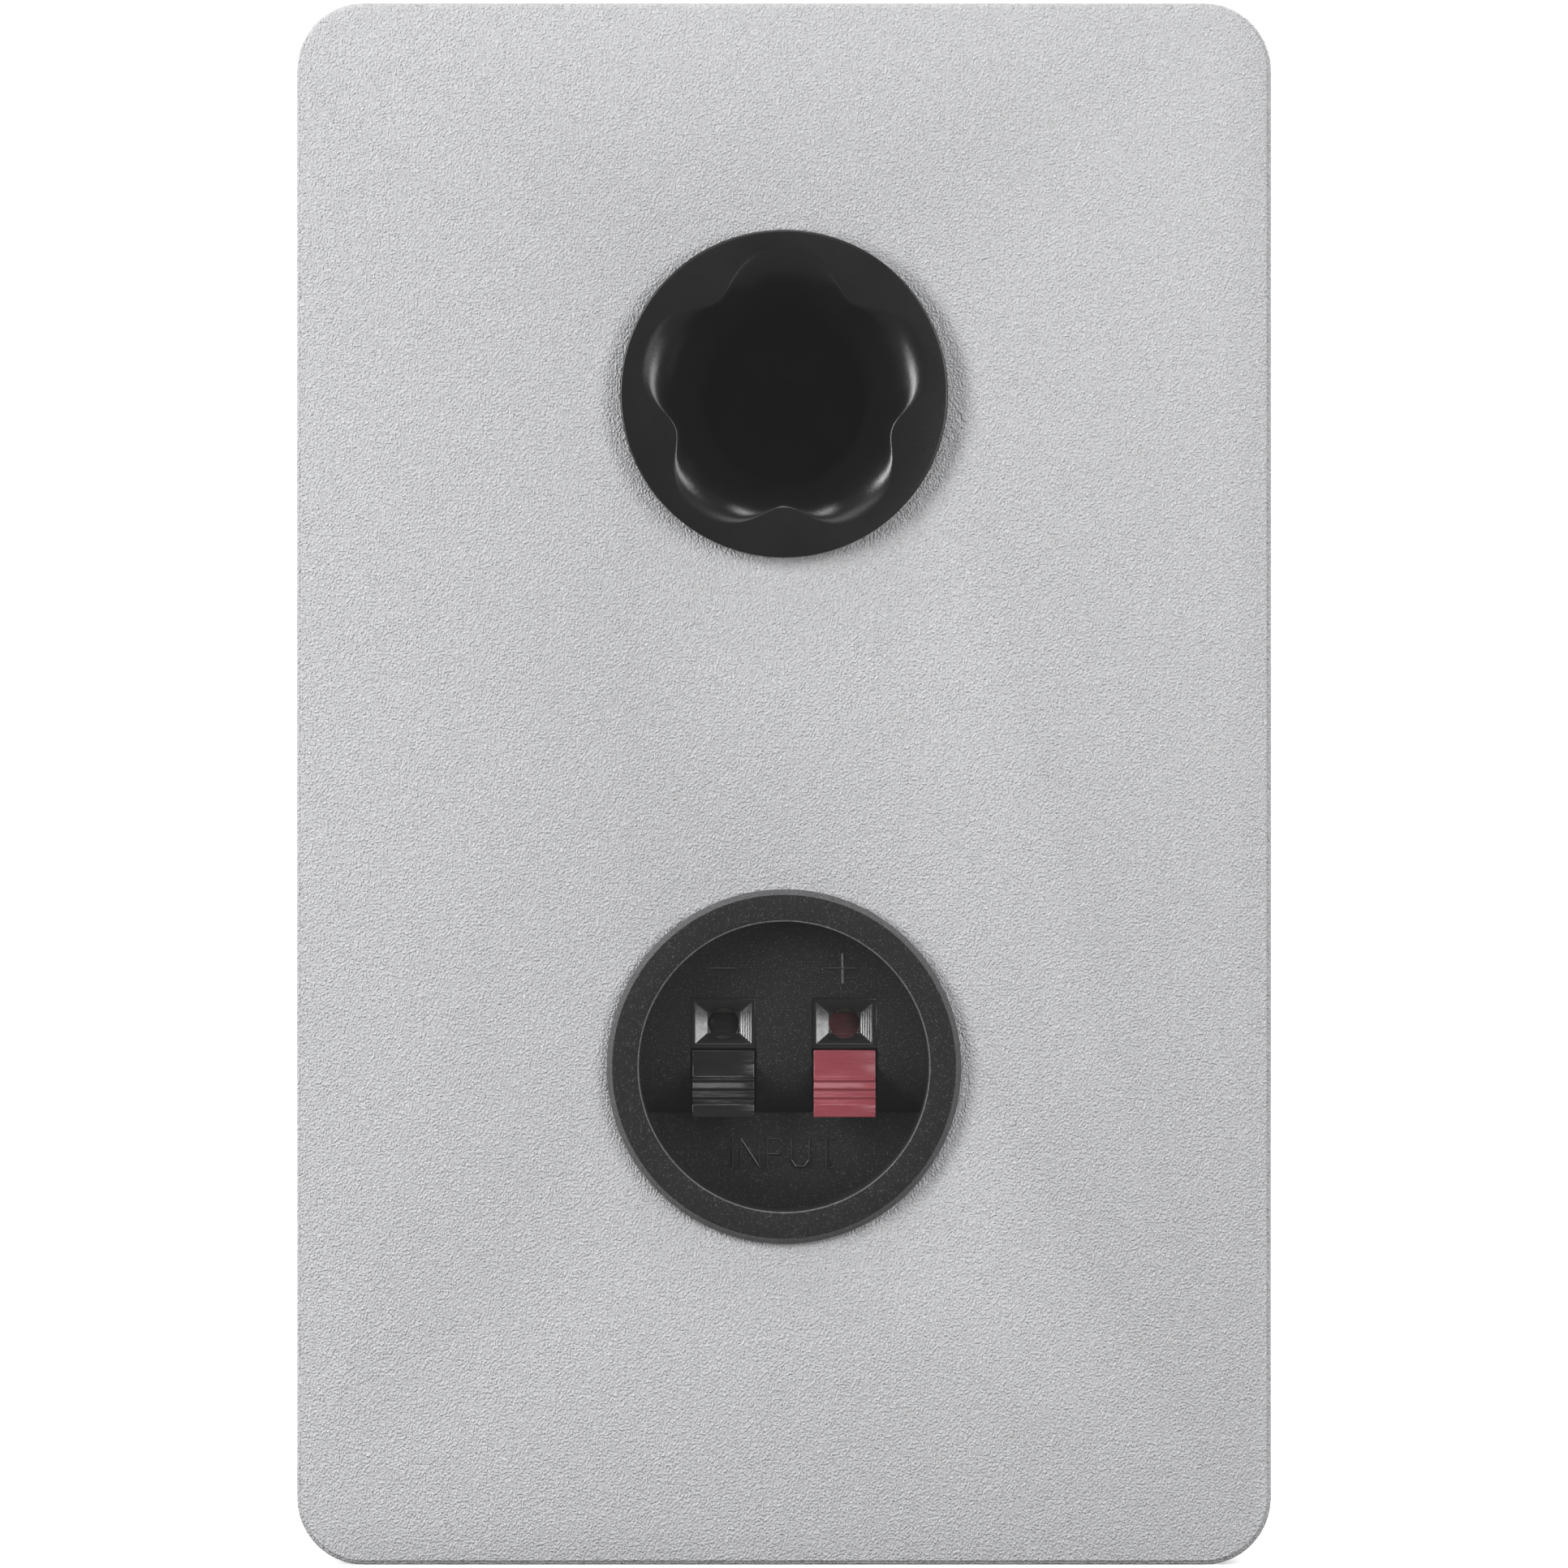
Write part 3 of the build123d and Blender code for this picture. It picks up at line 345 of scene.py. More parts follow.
def fibreboard(name, color):
    """Raw board: fine random fibres and faint clouds."""
    made, tree, shader = start_material(name, color, 0.85, specular=0.2)
    fibres = noise(tree, object_coords(tree, (1.0, 0.25, 1.0)), 0.5 * MM, 5.0, 0.75)
    clouds = noise(tree, object_coords(tree), 14.0 * MM, 3.0)
    bump(tree, shader, fibres, 0.06 * MM)
    tint(tree, shader, combine(tree, fibres, clouds, "MULTIPLY"), scaled(color, 0.7), scaled(color, 1.3))
    vary_roughness(tree, shader, fibres, 0.78, 0.95)
    return made


def plated_steel(name, color, roughness, stretch=(1.0, 1.0, 14.0)):
    """Metal with fine drawn lines and patchy plating."""
    made, tree, shader = start_material(name, color, roughness, metallic=1.0)
    drawn = noise(tree, object_coords(tree, stretch), 0.25 * MM, 3.0, 0.6)
    patches = noise(tree, object_coords(tree), 5.0 * MM, 3.0)
    bump(tree, shader, drawn, 0.006 * MM)
    tint(tree, shader, patches, scaled(color, 0.82), scaled(color, 1.12))
    vary_roughness(tree, shader, drawn, roughness * 0.75, roughness * 1.35)
    return made


def painted_steel(name, color):
    made, tree, shader = start_material(name, color, 0.38, specular=0.5)
    place = object_coords(tree)
    peel = noise(tree, place, 0.6 * MM, 3.0)
    bump(tree, shader, peel, 0.02 * MM)
    broad = noise(tree, place, 8.0 * MM, 2.0)
    tint(tree, shader, broad, scaled(color, 0.85), scaled(color, 1.2))
    vary_roughness(tree, shader, peel, 0.32, 0.46)
    return made


def sintered_ferrite(name, color):
    made, tree, shader = start_material(name, color, 0.55, specular=0.4)
    place = object_coords(tree)
    grains = cells(tree, place, 0.35 * MM)
    chips = noise(tree, place, 2.5 * MM, 4.0, 0.7)
    bump(tree, shader, combine(tree, grains, chips), 0.04 * MM)
    tint(tree, shader, chips, scaled(color, 0.7), scaled(color, 1.5))
    vary_roughness(tree, shader, chips, 0.45, 0.7)
    return made


def cone_pulp(name, color):
    """Pressed paper pulp with a thin damping coat: felted fibres and faint rings."""
    made, tree, shader = start_material(name, color, 0.58, specular=0.4)
    place = object_coords(tree)
    fibres = noise(tree, place, 0.7 * MM, 5.0, 0.72, 1.2)
    flecks = cells(tree, place, 1.4 * MM)
    bump(tree, shader, combine(tree, fibres, combine(tree, flecks, 0.3, "MULTIPLY")), 0.16 * MM)
    tint(tree, shader, fibres, scaled(color, 0.65), scaled(color, 1.6))
    vary_roughness(tree, shader, fibres, 0.48, 0.7)
    return made


def soft_rubber(name, color):
    made, tree, shader = start_material(name, color, 0.40, specular=0.5)
    place = object_coords(tree)
    fine = noise(tree, place, 0.4 * MM, 3.0)
    bloom = noise(tree, place, 7.0 * MM, 3.0)
    bump(tree, shader, fine, 0.015 * MM)
    tint(tree, shader, bloom, scaled(color, 0.8), scaled(color, 1.4))
    vary_roughness(tree, shader, bloom, 0.34, 0.48)
    shader.inputs["Sheen Weight"].default_value = 0.15
    return made


def woven_cloth(name, color, pitch, sheen=0.3, roughness=0.75):
    """A plain weave from two crossed sets of threads."""
    made, tree, shader = start_material(name, color, roughness, specular=0.35)
    place = object_coords(tree)
    warp = bands(tree, place, pitch, "X", 0.3)
    weft = bands(tree, place, pitch, "Z", 0.3)
    weave = combine(tree, warp, weft, "MAXIMUM")
    fuzz = noise(tree, place, pitch * 0.6, 3.0)
    bump(tree, shader, combine(tree, weave, combine(tree, fuzz, 0.4, "MULTIPLY")), pitch * 0.22)
    tint(tree, shader, weave, scaled(color, 0.6), scaled(color, 1.3))
    vary_roughness(tree, shader, fuzz, roughness * 0.9, min(1.0, roughness * 1.15))
    shader.inputs["Sheen Weight"].default_value = sheen
    return made


def foam(name, color):
    made, tree, shader = start_material(name, color, 0.9, specular=0.2)
    place = object_coords(tree)
    pores = cells(tree, place, 0.45 * MM)
    bump(tree, shader, pores, 0.12 * MM)
    tint(tree, shader, pores, scaled(color, 0.6), scaled(color, 1.5))
    vary_roughness(tree, shader, pores, 0.8, 0.97)
    return made


def wound_copper(name, color):
    """Close turns of lacquered wire."""
    made, tree, shader = start_material(name, color, 0.3, metallic=1.0)
    place = object_coords(tree)
    turns = bands(tree, place, 0.5 * MM, "Z")
    broad = noise(tree, place, 3.0 * MM, 3.0)
    bump(tree, shader, turns, 0.12 * MM)
    tint(tree, shader, broad, scaled(color, 0.75), scaled(color, 1.15))
    vary_roughness(tree, shader, broad, 0.22, 0.4)
    return made


def circuit_board(name, color):
    """Green resist over fine glass weave."""
    made, tree, shader = start_material(name, color, 0.35, specular=0.5)
    place = object_coords(tree)
    weave = combine(tree, bands(tree, place, 0.5 * MM, "X"), bands(tree, place, 0.5 * MM, "Y"))
    tracks = cells(tree, place, 6.0 * MM, "F1", 0.3)
    bump(tree, shader, weave, 0.01 * MM)
    tint(tree, shader, spread(tree, tracks, 0.35, 0.45, 0.0, 1.0), color, scaled(color, 1.7))
    vary_roughness(tree, shader, tracks, 0.28, 0.42)
    return made


def cement_body(name, color):
    made, tree, shader = start_material(name, color, 0.8, specular=0.3)
    place = object_coords(tree)
    pits = noise(tree, place, 0.5 * MM, 5.0, 0.7)
    bump(tree, shader, pits, 0.08 * MM)
    tint(tree, shader, pits, scaled(color, 0.85), scaled(color, 1.1))
    vary_roughness(tree, shader, pits, 0.7, 0.9)
    return made


def fibre_wadding(name, color):
    made, tree, shader = start_material(name, color, 0.95, specular=0.15)
    place = object_coords(tree)
    strands = noise(tree, place, 2.0 * MM, 6.0, 0.8, 2.0)
    clumps = noise(tree, place, 12.0 * MM, 3.0)
    bump(tree, shader, combine(tree, strands, clumps), 1.2 * MM)
    tint(tree, shader, strands, scaled(color, 0.7), scaled(color, 1.15))
    vary_roughness(tree, shader, strands, 0.88, 1.0)
    shader.inputs["Sheen Weight"].default_value = 0.4
    return made


def make_materials():
    """One material for each finish in the record."""
    grey = (0.590, 0.590, 0.604)
    return {
        "mdf": fibreboard("mdf", (0.36, 0.25, 0.15)),
        "cabinet_vinyl": pebbled_vinyl("cabinet_vinyl", grey),
        "baffle_paint": satin_paint("baffle_paint", (0.014, 0.014, 0.016)),
        "rear_board": pebbled_vinyl("rear_board", grey),
        "port_plastic": moulded_plastic("port_plastic", (0.0050, 0.0050, 0.0058), 0.22, 0.34 * MM,
                                        0.030 * MM),
        # its last two colours are the painted glint on the grain's tips and the painted highlight on the
        # round edges
        "cup_plastic": sanded_plastic("cup_plastic", (0.0022, 0.0022, 0.0026), (0.11, 0.11, 0.115),
                                       (0.36, 0.36, 0.37)),
        "funnel_plastic": machined_gloss("funnel_plastic", (0.006, 0.006, 0.0065)),
        "lever_black": fluted_gloss("lever_black", (0.005, 0.005, 0.0055), (0.012, 0.012, 0.013)),
        "lever_red": fluted_gloss("lever_red", (0.225, 0.032, 0.045), (0.310, 0.068, 0.086)),
        "tinned_brass": plated_steel("tinned_brass", (0.62, 0.60, 0.52), 0.28),
        "spring_steel": plated_steel("spring_steel", (0.50, 0.50, 0.52), 0.30),
        "frame_steel": painted_steel("frame_steel", (0.012, 0.012, 0.013)),
        "zinc_steel": plated_steel("zinc_steel", (0.60, 0.59, 0.55), 0.38, (1.0, 1.0, 1.0)),
        "ferrite": sintered_ferrite("ferrite", (0.035, 0.035, 0.037)),
        "cone_paper": cone_pulp("cone_paper", (0.016, 0.016, 0.018)),
        "cap_paper": cone_pulp("cap_paper", (0.018, 0.018, 0.019)),
        "surround_rubber": soft_rubber("surround_rubber", (0.006, 0.006, 0.007)),
        "spider_cloth": woven_cloth("spider_cloth", (0.55, 0.36, 0.12), 0.6 * MM, 0.1),
        "coil_copper": wound_copper("coil_copper", (0.72, 0.34, 0.16)),
        "coil_former": moulded_plastic("coil_former", (0.40, 0.20, 0.06), 0.3, 0.6 * MM, 0.004 * MM),
        "dome_silk": woven_cloth("dome_silk", (0.020, 0.020, 0.023), 0.28 * MM, 0.35, 0.5),
        "plate_plastic": moulded_plastic("plate_plastic", (0.009, 0.009, 0.010), 0.38, 0.30 * MM, 0.05 * MM),
        "gasket_foam": foam("gasket_foam", (0.025, 0.025, 0.026)),
        "screw_black": painted_steel("screw_black", (0.020, 0.020, 0.022)),
        "circuit_board": circuit_board("circuit_board", (0.02, 0.12, 0.05)),
        "strip_board": moulded_plastic("strip_board", (0.25, 0.13, 0.06), 0.5, 0.5 * MM, 0.02 * MM),
        "capacitor_sleeve": moulded_plastic("capacitor_sleeve", (0.02, 0.05, 0.18), 0.25, 0.8 * MM,
                                            0.01 * MM),
        "cement": cement_body("cement", (0.68, 0.67, 0.63)),
        "wire_red": moulded_plastic("wire_red", (0.42, 0.02, 0.02), 0.4, 0.6 * MM, 0.01 * MM),
        "wire_black": moulded_plastic("wire_black", (0.015, 0.015, 0.016), 0.4, 0.6 * MM, 0.01 * MM),
        "tinsel": plated_steel("tinsel", (0.62, 0.38, 0.22), 0.45, (1.0, 4.0, 1.0)),
        "wadding": fibre_wadding("wadding", (0.72, 0.72, 0.70)),
    }


def dress_nodes(materials):
    """Give each CAD node the material of its slot."""
    for part in frame["record"]["subparts"]:
        data = NODES[part["node"]].data
        data.materials.clear()
        data.materials.append(materials[part["material_slot"]])


# ================================================================ mesh helpers
def mesh_object(name, points, faces, material, sharp_angle=35.0):
    """A mesh piece, smooth except across sharp edges."""
    data = bpy.data.meshes.new(name)
    data.from_pydata(points, [], faces)
    data.validate()
    made = bpy.data.objects.new(name, data)
    bpy.context.scene.collection.objects.link(made)
    return finish_piece(made, material, sharp_angle)


def plain_object(name, points, faces):
    """A bare mesh object that another step cuts or shapes."""
    data = bpy.data.meshes.new(name)
    data.from_pydata(points, [], faces)
    data.validate()
    made = bpy.data.objects.new(name, data)
    bpy.context.scene.collection.objects.link(made)
    normals = bmesh.new()
    normals.from_mesh(data)
    bmesh.ops.recalc_face_normals(normals, faces=normals.faces)
    normals.to_mesh(data)
    normals.free()
    return made


def finish_piece(made, material, sharp_angle):
    data = made.data
    tidy = bmesh.new()
    tidy.from_mesh(data)
    bmesh.ops.recalc_face_normals(tidy, faces=tidy.faces)
    tidy.to_mesh(data)
    tidy.free()
    for face in data.polygons:
        face.use_smooth = True
    data.set_sharp_from_angle(angle=math.radians(sharp_angle))
    data.materials.clear()
    data.materials.append(material)
    return made


def rounded_path(corners, steps):
    """Points along an open path of (a, b, radius) corners; a corner with a radius is rounded."""
    points = []
    for index, (a, b, radius) in enumerate(corners):
        at = Vector((a, b))
        if radius <= 0:
            points.append((a, b))
            continue
        before = Vector(corners[index - 1][:2]) - at
        after = Vector(corners[index + 1][:2]) - at
        half = before.angle(after) / 2
        reach = min(radius / math.tan(half), 0.49 * before.length, 0.49 * after.length)
        start = at + before.normalized() * reach
        end = at + after.normalized() * reach
        for step in range(steps + 1):
            share = step / steps
            blend = start * (1 - share) ** 2 + at * 2 * share * (1 - share) + end * share**2
            points.append((blend.x, blend.y))
    return points


def spun_mesh(profile, centre_z, first=0.0, last=360.0, segments=192):
    """Points and faces of a closed (radius, y) profile spun about the axis at centre_z."""
    whole = last - first >= 360.0
    rings = segments if whole else segments + 1
    points = []
    for step in range(rings):
        angle = math.radians(first + (last - first) * step / segments)
        for radius, y in profile:
            points.append((radius * math.cos(angle), y, centre_z + radius * math.sin(angle)))
    size = len(profile)
    faces = []
    for step in range(segments):
        here = step * size
        there = ((step + 1) % rings) * size
        for index in range(size):
            following = (index + 1) % size
            faces.append((here + index, here + following, there + following, there + index))
    if not whole:
        faces.append(tuple(range(size)))
        faces.append(tuple(segments * size + index for index in reversed(range(size))))
    return points, faces


def weld(made, distance=0.0005 * MM):
    """Join points that fall together, such as those on a spin's own axis."""
    data = bmesh.new()
    data.from_mesh(made.data)
    bmesh.ops.remove_doubles(data, verts=data.verts, dist=distance)
    bmesh.ops.dissolve_degenerate(data, edges=data.edges, dist=distance)
    data.to_mesh(made.data)
    data.free()
    return made


# ================================================================ stage, lights, camera
def pale_floor():
    """A faintly clouded floor: white to the camera, dark to every other ray."""
    half = FLOOR_HALF
    data = bpy.data.meshes.new("floor")
    corners = [(-half, -half, 0), (half, -half, 0), (half, half, 0), (-half, half, 0)]
    data.from_pydata(corners, [], [(0, 1, 2, 3)])
    floor = bpy.data.objects.new("floor", data)
    bpy.context.scene.collection.objects.link(floor)
    made, tree, shader = start_material("floor_white", (0.93, 0.93, 0.93), 0.9, specular=0.0)
    seen = tree.nodes.new("ShaderNodeLightPath").outputs["Is Camera Ray"]
    cloud = combine(tree, noise(tree, object_coords(tree), 0.8, 2.0), 0.03, "MULTIPLY")
    whole = combine(tree, seen, cloud, "SUBTRACT")
    tint(tree, shader, whole, FLOOR_AS_LIGHT, FLOOR_SEEN)
    shader.inputs["Emission Color"].default_value = (1.0, 1.0, 1.0, 1.0)
    tree.links.new(combine(tree, whole, FLOOR_GLOW, "MULTIPLY"), shader.inputs["Emission Strength"])
    data.materials.append(made)


def white_world():
    """White to the camera, and a dim soft white as a light."""
    world = bpy.data.worlds.new("studio")
    world.use_nodes = True
    tree = world.node_tree
    tree.nodes.clear()
    seen = tree.nodes.new("ShaderNodeBackground")
    seen.inputs["Color"].default_value = (1.0, 1.0, 1.0, 1.0)
    seen.inputs["Strength"].default_value = WORLD_SEEN
    lit = tree.nodes.new("ShaderNodeBackground")
    lit.inputs["Color"].default_value = (1.0, 1.0, 1.0, 1.0)
    lit.inputs["Strength"].default_value = WORLD_AS_LIGHT
    path = tree.nodes.new("ShaderNodeLightPath")
    mix = tree.nodes.new("ShaderNodeMixShader")
    out = tree.nodes.new("ShaderNodeOutputWorld")
    tree.links.new(path.outputs["Is Camera Ray"], mix.inputs["Fac"])
    tree.links.new(lit.outputs["Background"], mix.inputs[1])
    tree.links.new(seen.outputs["Background"], mix.inputs[2])
    tree.links.new(mix.outputs["Shader"], out.inputs["Surface"])
    bpy.context.scene.world = world


def softbox(name, place, target, width, height, power):
    """A rectangular area light aimed at a point."""
    data = bpy.data.lights.new(name, "AREA")
    data.shape = "RECTANGLE"
    data.size = width
    data.size_y = height
    data.energy = power
    made = bpy.data.objects.new(name, data)
    bpy.context.scene.collection.objects.link(made)
    made.location = place
    made.rotation_euler = (Vector(target) - Vector(place)).to_track_quat("-Z", "Y").to_euler()
    return made


def soft_lights():
    """Tall strips either side of the back, a soft top light, a low fill, and soft boxes for the front."""
    middle = (0.0, 0.0, 0.12)
    softbox("strip_left", (0.98, 0.64, 0.28), middle, 0.30, 1.3, 20.0)
    softbox("strip_right", (-0.95, 0.80, 0.28), middle, 0.36, 1.3, 12.0)
    softbox("top_box", (0.15, 1.20, 0.90), middle, 0.8, 0.5, 3.0)
    softbox("low_fill", (-0.45, 0.95, 0.14), (0.0, 0.09, 0.02), 0.5, 0.2, 0.9)
    softbox("front_left", (-0.9, -1.1, 0.9), middle, 0.7, 0.7, 17.0)
    softbox("front_right", (1.2, -0.8, 0.5), middle, 0.4, 1.0, 9.0)
    data = bpy.data.lights.new("overhead", "SUN")
    data.energy = 1.7
    data.angle = math.radians(30)
    made = bpy.data.objects.new("overhead", data)
    bpy.context.scene.collection.objects.link(made)
    made.rotation_euler = (0.0, 0.0, 0.0)


def rear_camera():
    """Straight on to the back, level with the middle of the cabinet."""
    back_y = cad_bounds[1][1]
    middle_z = cad_bounds[1][2] / 2
    data = bpy.data.cameras.new("camera")
    data.sensor_width = SENSOR_WIDTH
    width = cad_bounds[1][0] - cad_bounds[0][0]
    data.lens = SENSOR_WIDTH * CABINET_SHARE * CAMERA_DISTANCE / width
    data.clip_end = 50.0
    camera = bpy.data.objects.new("camera", data)
    bpy.context.scene.collection.objects.link(camera)
    camera.location = (0.0, back_y - REAR_PROUD + CAMERA_DISTANCE, middle_z)
    camera.rotation_euler = (math.radians(90), 0.0, math.radians(180))
    bpy.context.scene.camera = camera
    view = bpy.context.scene.view_settings
    view.view_transform = "Standard"
    view.use_curve_mapping = True
    view.curve_mapping.black_level = (-VEIL, -VEIL, -VEIL)
    view.curve_mapping.update()


# ================================================================ softened CAD pieces
def slot_of_node(node):
    for part in frame["record"]["subparts"]:
        if part["node"] == node:
            return part["material_slot"]


def softened(materials, node, width, inner_share):
    """The CAD piece with its sharp edges rounded: full width at its rearmost face, inner_share elsewhere."""
    data = NODES[node].data.copy()
    rim_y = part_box(node)[1].y - 0.05 * MM
    work = bmesh.new()
    work.from_mesh(data)
    bmesh.ops.remove_doubles(work, verts=work.verts, dist=0.002 * MM)
    bmesh.ops.dissolve_limit(work, angle_limit=math.radians(0.4), verts=work.verts, edges=work.edges)
    weights = work.edges.layers.float.new("bevel_weight_edge")
    for edge in work.edges:
        if edge.is_manifold and edge.calc_face_angle() > math.radians(28):
            at_rim = min(corner.co.y for corner in edge.verts) > rim_y
            edge[weights] = 1.0 if at_rim else inner_share
    work.to_mesh(data)
    work.free()
    made = bpy.data.objects.new(node + "_softened", data)
    bpy.context.scene.collection.objects.link(made)
    rounding = made.modifiers.new("rounding", "BEVEL")
    rounding.width = width
    rounding.segments = 3
    rounding.limit_method = "WEIGHT"
    rounding.miter_outer = "MITER_ARC"
    bpy.context.view_layer.update()
    final = bpy.data.meshes.new_from_object(made.evaluated_get(bpy.context.evaluated_depsgraph_get()))
    made.modifiers.clear()
    made.data = final
    slot = slot_of_node(node)
    finish_piece(made, materials[slot], 40.0)
    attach(made, NODES[node]["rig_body"])
    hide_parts(node)


# Rounding in millimetres at each piece's rear face, and the share of it on the other edges.
SOFTENED = {
    "terminal_cup": (0.32, 0.35),
    "wire_funnel_negative": (0.06, 1.0),
    "wire_funnel_positive": (0.06, 1.0),
    "clip_lever_negative": (0.14, 1.0),
    "clip_lever_positive": (0.14, 1.0),
    "back_vinyl_skin": (0.25, 1.0),
    "crossover_board": (0.10, 1.0),
    "woofer_yoke": (0.40, 1.0),
    "woofer_magnet": (0.50, 1.0),
    "woofer_top_plate": (0.25, 1.0),
    "tweeter_yoke": (0.30, 1.0),
    "tweeter_magnet": (0.40, 1.0),
    "terminal_rear_cover": (0.15, 1.0),
}


def soften_pieces(materials):
    for node, (width, inner_share) in SOFTENED.items():
        softened(materials, node, width * MM, inner_share)


# ================================================================ the port
PORT_Z = MOUNTS["port_bore"]["pos_m"][2]
PORT_THROAT = MOUNTS["port_bore"]["dims"]["r_mm"] * MM
PORT_LOBES = 5
PORT_VALLEY = 17.1 * MM
PORT_LOBE = 22.0 * MM
PORT_FULLNESS = 1.6
PORT_THROAT_DEPTH = 24.2 * MM
PORT_LIP_VALLEY = 0.7 * MM
PORT_LIP_LOBE = 4.8 * MM
PORT_ENTRY_DEPTH = 8.5 * MM
PORT_WALL = 2.1 * MM
PORT_STOP_DEPTH = 26.0 * MM
PORT_TAPER_DEPTH = 12.0 * MM
PORT_BODY_STEP = 1.75 * MM
PORT_EDGE_RADIUS = 0.40 * MM
PORT_EDGE_REACH = 2.0 * MM


def port_lobe_share(angle):
    """1 at the middle of a lobe and 0 in the valley between two."""
    wave = 0.5 + 0.5 * math.cos(PORT_LOBES * (angle - math.pi / 2))
    return 1 - (1 - wave) ** PORT_FULLNESS


def port_profile(angle, share):
    """(radius, depth) down the flare at an angle: level with the flange, rolling over into the throat."""
    wave = port_lobe_share(angle)
    mouth = PORT_VALLEY + (PORT_LOBE - PORT_VALLEY) * wave
    roll = PORT_LIP_VALLEY + (PORT_LIP_LOBE - PORT_LIP_VALLEY) * wave**1.5
    weights = ((1 - share) ** 3, 3 * share * (1 - share) ** 2, 3 * share**2 * (1 - share), share**3)
    radii = (mouth, mouth - roll, PORT_THROAT, PORT_THROAT)
    depths = (0.0, 0.0, PORT_ENTRY_DEPTH, PORT_THROAT_DEPTH)
    radius = sum(weight * value for weight, value in zip(weights, radii))
    depth = sum(weight * value for weight, value in zip(weights, depths))
    return radius, depth


def build_port_flare(materials):
    """Flat flange, lobed mouth, flare, throat and socket as one closed skin."""
    low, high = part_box("port_flare")
    rim_y = high.y
    flange_radius = (high.x - low.x) / 2
    panel_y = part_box("back_vinyl_skin")[1].y
    body_radius = flange_radius - PORT_BODY_STEP
    tube_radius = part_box("port_tube")[1].x
    segments = 400
    flare_steps = 56
    edge = rounded_path([(flange_radius, panel_y, 0), (flange_radius, rim_y, PORT_EDGE_RADIUS),
                         (flange_radius - PORT_EDGE_REACH, rim_y, 0)], steps=6)
    outside = [(tube_radius + PORT_WALL, low.y),
               (tube_radius + PORT_WALL, rim_y - PORT_THROAT_DEPTH),
               (body_radius, rim_y - PORT_TAPER_DEPTH), (body_radius, panel_y)]
    inside = [(PORT_THROAT, rim_y - PORT_STOP_DEPTH), (tube_radius, rim_y - PORT_STOP_DEPTH),
              (tube_radius, low.y)]
    points = []

    def add_ring(place):
        for step in range(segments):
            angle = 2 * math.pi * step / segments
            radius, y = place(angle)
            points.append((radius * math.cos(angle), y, PORT_Z + radius * math.sin(angle)))

    def flare_ring(share):
        def place(angle):
            radius, depth = port_profile(angle, share)
            return radius, rim_y - depth
        add_ring(place)

    for fixed in outside + edge[:-1]:
        add_ring(lambda angle, fixed=fixed: fixed)
    for step in range(flare_steps + 1):
        flare_ring((step / flare_steps) ** 1.3)
    for fixed in inside:
        add_ring(lambda angle, fixed=fixed: fixed)
    rings = len(points) // segments
    faces = []
    for index in range(rings):
        here = index * segments
        there = ((index + 1) % rings) * segments
        for step in range(segments):
            following = (step + 1) % segments
            faces.append((here + step, here + following, there + following, there + step))
    made = mesh_object("port_flare_moulding", points, faces, materials["port_plastic"], 55.0)
    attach(made, "root")
    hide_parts("port_flare")


# ================================================================ marks on the terminal cup
CUP_FLOOR_DEPTH = 5.0 * MM
MARK_STROKE = 0.42 * MM
MARK_RISE = 0.16 * MM
LETTER_STROKE = 0.36 * MM
LETTER_HEIGHT = 4.25 * MM
WORD_DROP = 15.4 * MM
SIGN_RISE = 14.6 * MM
SIGN_HALF = 2.15 * MM
MINUS_X = 9.4 * MM
PLUS_X = -8.8 * MM
LOWER_FLOOR_DEPTH = 8.0 * MM
LOWER_FLOOR_START = 7.2 * MM
LOWER_FLOOR_SLOPE = 0.3 / 5.8
LETTER_GAP = 1.25 * MM
LETTERS = (
    (0.0, [((0.0, 0.0), (0.0, 1.0))]),
    (2.75, [((0.0, 0.0), (0.0, 1.0)), ((0.0, 1.0), (1.0, 0.0)), ((1.0, 0.0), (1.0, 1.0))]),
    (2.35, [((0.0, 0.0), (0.0, 1.0)), ((0.0, 1.0), (0.75, 1.0)), ((0.75, 1.0), (1.0, 0.86)),
            ((1.0, 0.86), (1.0, 0.60)), ((1.0, 0.60), (0.75, 0.46)), ((0.75, 0.46), (0.0, 0.46))]),
    (2.70, [((0.0, 1.0), (0.0, 0.25)), ((0.0, 0.25), (0.25, 0.02)), ((0.25, 0.02), (0.75, 0.02)),
            ((0.75, 0.02), (1.0, 0.25)), ((1.0, 0.25), (1.0, 1.0))]),
    (2.70, [((0.0, 1.0), (1.0, 1.0)), ((0.5, 1.0), (0.5, 0.0))]),
)


def raised_strokes(materials, name, strokes, y_at, stroke=MARK_STROKE):
    """Round-topped ridges along strokes given as ((x, z), (x, z)), on a floor whose y is y_at(z)."""
    points = []
    faces = []
    section = []
    for step in range(7):
        turn = math.pi * step / 6
        section.append((0.5 * stroke * math.cos(turn), MARK_RISE * math.sin(turn)))
    section += [(-0.5 * stroke, -0.1 * MM), (0.5 * stroke, -0.1 * MM)]
    for start, end in strokes:
        start = Vector(start)
        end = Vector(end)
        along = (end - start).normalized()
        side = Vector((-along.y, along.x))
        first = len(points)
        for place in (start - along * 0.3 * stroke, end + along * 0.3 * stroke):
            for offset, rise in section:
                spot = place + side * offset
                points.append((spot.x, y_at(spot.y) + rise, spot.y))
        size = len(section)
        for index in range(size):
            following = (index + 1) % size
            faces.append((first + index, first + following, first + size + following, first + size + index))
        faces.append(tuple(first + index for index in range(size)))
        faces.append(tuple(first + size + index for index in reversed(range(size))))
    made = mesh_object(name, points, faces, materials["funnel_plastic"], 60.0)
    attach(made, "root")
    return made


